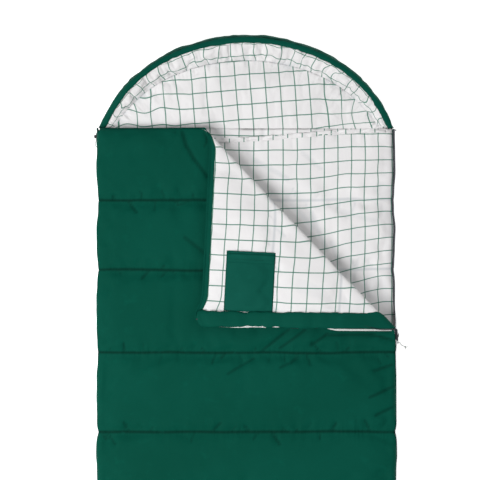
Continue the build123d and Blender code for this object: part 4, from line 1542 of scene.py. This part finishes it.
# ---- Pieces ----
loop_cord, pull_line, pull_knot = make_cords()
lock_spring = make_spring()
cover_shell, cover_lining, cover_underside = make_cover()
bottom_lining, bottom_shell = make_bottom()
side_fold = make_side_fold()
zip_pieces = make_zip()
trim = make_lining_trim(cover_underside)
pocket_patch_piece, pocket_band_piece = make_pocket(cover_lining)
hood = make_hood()
neck_strip = make_neck_band(tree_of(bottom_lining))

# ---- Stitching ----
THREAD_INSET = 0.002


def quilting_stitches():
    """Stitches along the cover's quilting seams, folded with the cover."""
    rows = [[(-half_width + 0.012, y), (half_width - 0.012, y)] for y in COVER_SEAMS]
    seam_top = COVER_SEAM_Z + LAYER_GAP + STITCH_LIFT + CLOTH / 2
    stitches = stitch_mesh("quilting_stitches", rows, lambda x, y: seam_top)
    points = coords(stitches)
    points[:, 1] += drift(points[:, 0], points[:, 1])
    set_coords(stitches, points)
    set_coords(stitches, fold_over(coords(stitches)))
    bend_at_fold(stitches)
    return stitches


def pocket_seam_stitches(pocket, band):
    """Stitches down both sides of the pocket and along its band."""
    edge = POCKET_WIDTH / 2 - THREAD_INSET
    ends = (THREAD_INSET, POCKET_LENGTH - THREAD_INSET)
    rows = [[pocket_point(u, v) for v in ends] for u in (-edge, edge)]
    rows.append([pocket_point(u, BAND_WIDTH - THREAD_INSET) for u in (-edge, edge)])
    trees = [tree_of(pocket), tree_of(band)]

    def on_top(x, y):
        return max(height_at(tree, x, y, 1) for tree in trees) + 0.0002

    stitches = stitch_mesh("pocket_stitches", rows, on_top, pitch=0.0034, length=0.0024)
    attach(stitches, "flap")
    return stitches


shell_stitches = quilting_stitches()
pocket_stitches = pocket_seam_stitches(pocket_patch_piece, pocket_band_piece)

# ---- Painting ----
GREEN = (0.0003, 0.066, 0.042)
GREEN_LIGHT = (0.0010, 0.080, 0.053)
shell_green = shell_look("shell_green_taffeta", GREEN, GREEN_LIGHT)
trim_green = shell_look("trim_green_taffeta", (0.0008, 0.070, 0.046), (0.0020, 0.084, 0.056), seams=False)
pocket_green = shell_look("pocket_green_taffeta", (0.0030, 0.086, 0.060), (0.0050, 0.098, 0.070), seams=False)
check_lining = check_look("lining_windowpane")
navy_tape = tape_look("zip_tape_navy", (0.010, 0.014, 0.030))
coil_black = hard_look("zip_coil_nylon", (0.012, 0.014, 0.020), 0.38, (0.05, 0.05, 0.06))
white_strip = tape_look("snag_strip_white", (0.74, 0.75, 0.74))
thread = hard_look("stitch_thread", (0.002, 0.050, 0.034), 0.75, (0.004, 0.070, 0.048), spec=0.1)
pale_braid = braid_look("pull_cord_braid", (0.62, 0.66, 0.63))
white_braid = braid_look("elastic_braid", (0.72, 0.73, 0.72))
webbing = tape_look("webbing_dark_green", (0.006, 0.040, 0.032), pitch=0.0012)
gunmetal = hard_look("slider_gunmetal", (0.16, 0.165, 0.175), 0.34, (0.42, 0.42, 0.43), metal=1.0)
lock_black = hard_look("lock_plastic_black", (0.014, 0.015, 0.016), 0.48, (0.035, 0.036, 0.038))
steel = hard_look("spring_steel", (0.46, 0.46, 0.47), 0.28, (0.60, 0.60, 0.60), metal=1.0)

by_material = {
    shell_green: [cover_shell, bottom_shell, side_fold, hood["outside"]],
    trim_green: [trim["hem"], trim["tube_lower"], trim["tube_upper"], hood["base"], hood["rim"]],
    pocket_green: [pocket_patch_piece, pocket_band_piece],
    check_lining: [cover_lining, bottom_lining, hood["panel"], hood["wall"], neck_strip],
    navy_tape: [zip_pieces["zip_tape_lower"], zip_pieces["zip_tape_upper"]],
    coil_black: [zip_pieces["zip_coil_lower"], zip_pieces["zip_coil_upper"]],
    white_strip: [trim["snag"]],
    thread: [shell_stitches, pocket_stitches],
    pale_braid: [pull_line, pull_knot],
    white_braid: [loop_cord, hood["drawcord"]],
    steel: [lock_spring],
}
for material, objects in by_material.items():
    for piece in objects:
        paint(piece, material)
by_slot = {
    "shell_green": shell_green,
    "batting": white_strip,
    "check_lining": check_lining,
    "zip_tape": navy_tape,
    "zip_coil": coil_black,
    "white_strip": white_strip,
    "slider_metal": gunmetal,
    "pull_cord": pale_braid,
    "elastic": white_braid,
    "webbing": webbing,
    "lock_plastic": lock_black,
    "spring_steel": steel,
}
slot_of = {part["node"]: part["material_slot"] for part in frame["record"]["subparts"]}
for name, node in frame["nodes"].items():
    paint(node, by_slot[slot_of[name]])

# ---- Studio ----
FLOOR_HALF = 6.0
FLOOR_Z = -0.0015
WORLD_STRENGTH = 0.30
corners = [(x * FLOOR_HALF, y * FLOOR_HALF, FLOOR_Z) for x, y in ((-1, -1), (1, -1), (1, 1), (-1, 1))]
floor_mesh = bpy.data.meshes.new("floor")
floor_mesh.from_pydata(corners, [], [(0, 1, 2, 3)])
floor = bpy.data.objects.new("floor", floor_mesh)
bpy.context.scene.collection.objects.link(floor)
paint(floor, floor_look())

world = bpy.data.worlds.new("studio")
world.use_nodes = True
world.node_tree.nodes["Background"].inputs["Color"].default_value = rgba(1.0, 1.0, 1.0)
world.node_tree.nodes["Background"].inputs["Strength"].default_value = WORLD_STRENGTH
bpy.context.scene.world = world
# Name, place, point it aims at, side and power of each lamp.
LIGHTS = (
    ("key_light", (-1.5, -0.6, 2.8), (0.0, 0.45, 0.0), 2.0, 88.0),
    ("fill_light", (1.5, 2.2, 2.8), (0.0, 0.4, 0.0), 2.4, 22.0),
)
for name, place, aim, size, power in LIGHTS:
    light = bpy.data.lights.new(name, "AREA")
    light.energy = power
    light.size = size
    lamp = bpy.data.objects.new(name, light)
    lamp.location = place
    lamp.rotation_euler = (Vector(aim) - Vector(place)).to_track_quat("-Z", "Y").to_euler()
    bpy.context.scene.collection.objects.link(lamp)
bpy.context.scene.view_settings.view_transform = "Standard"
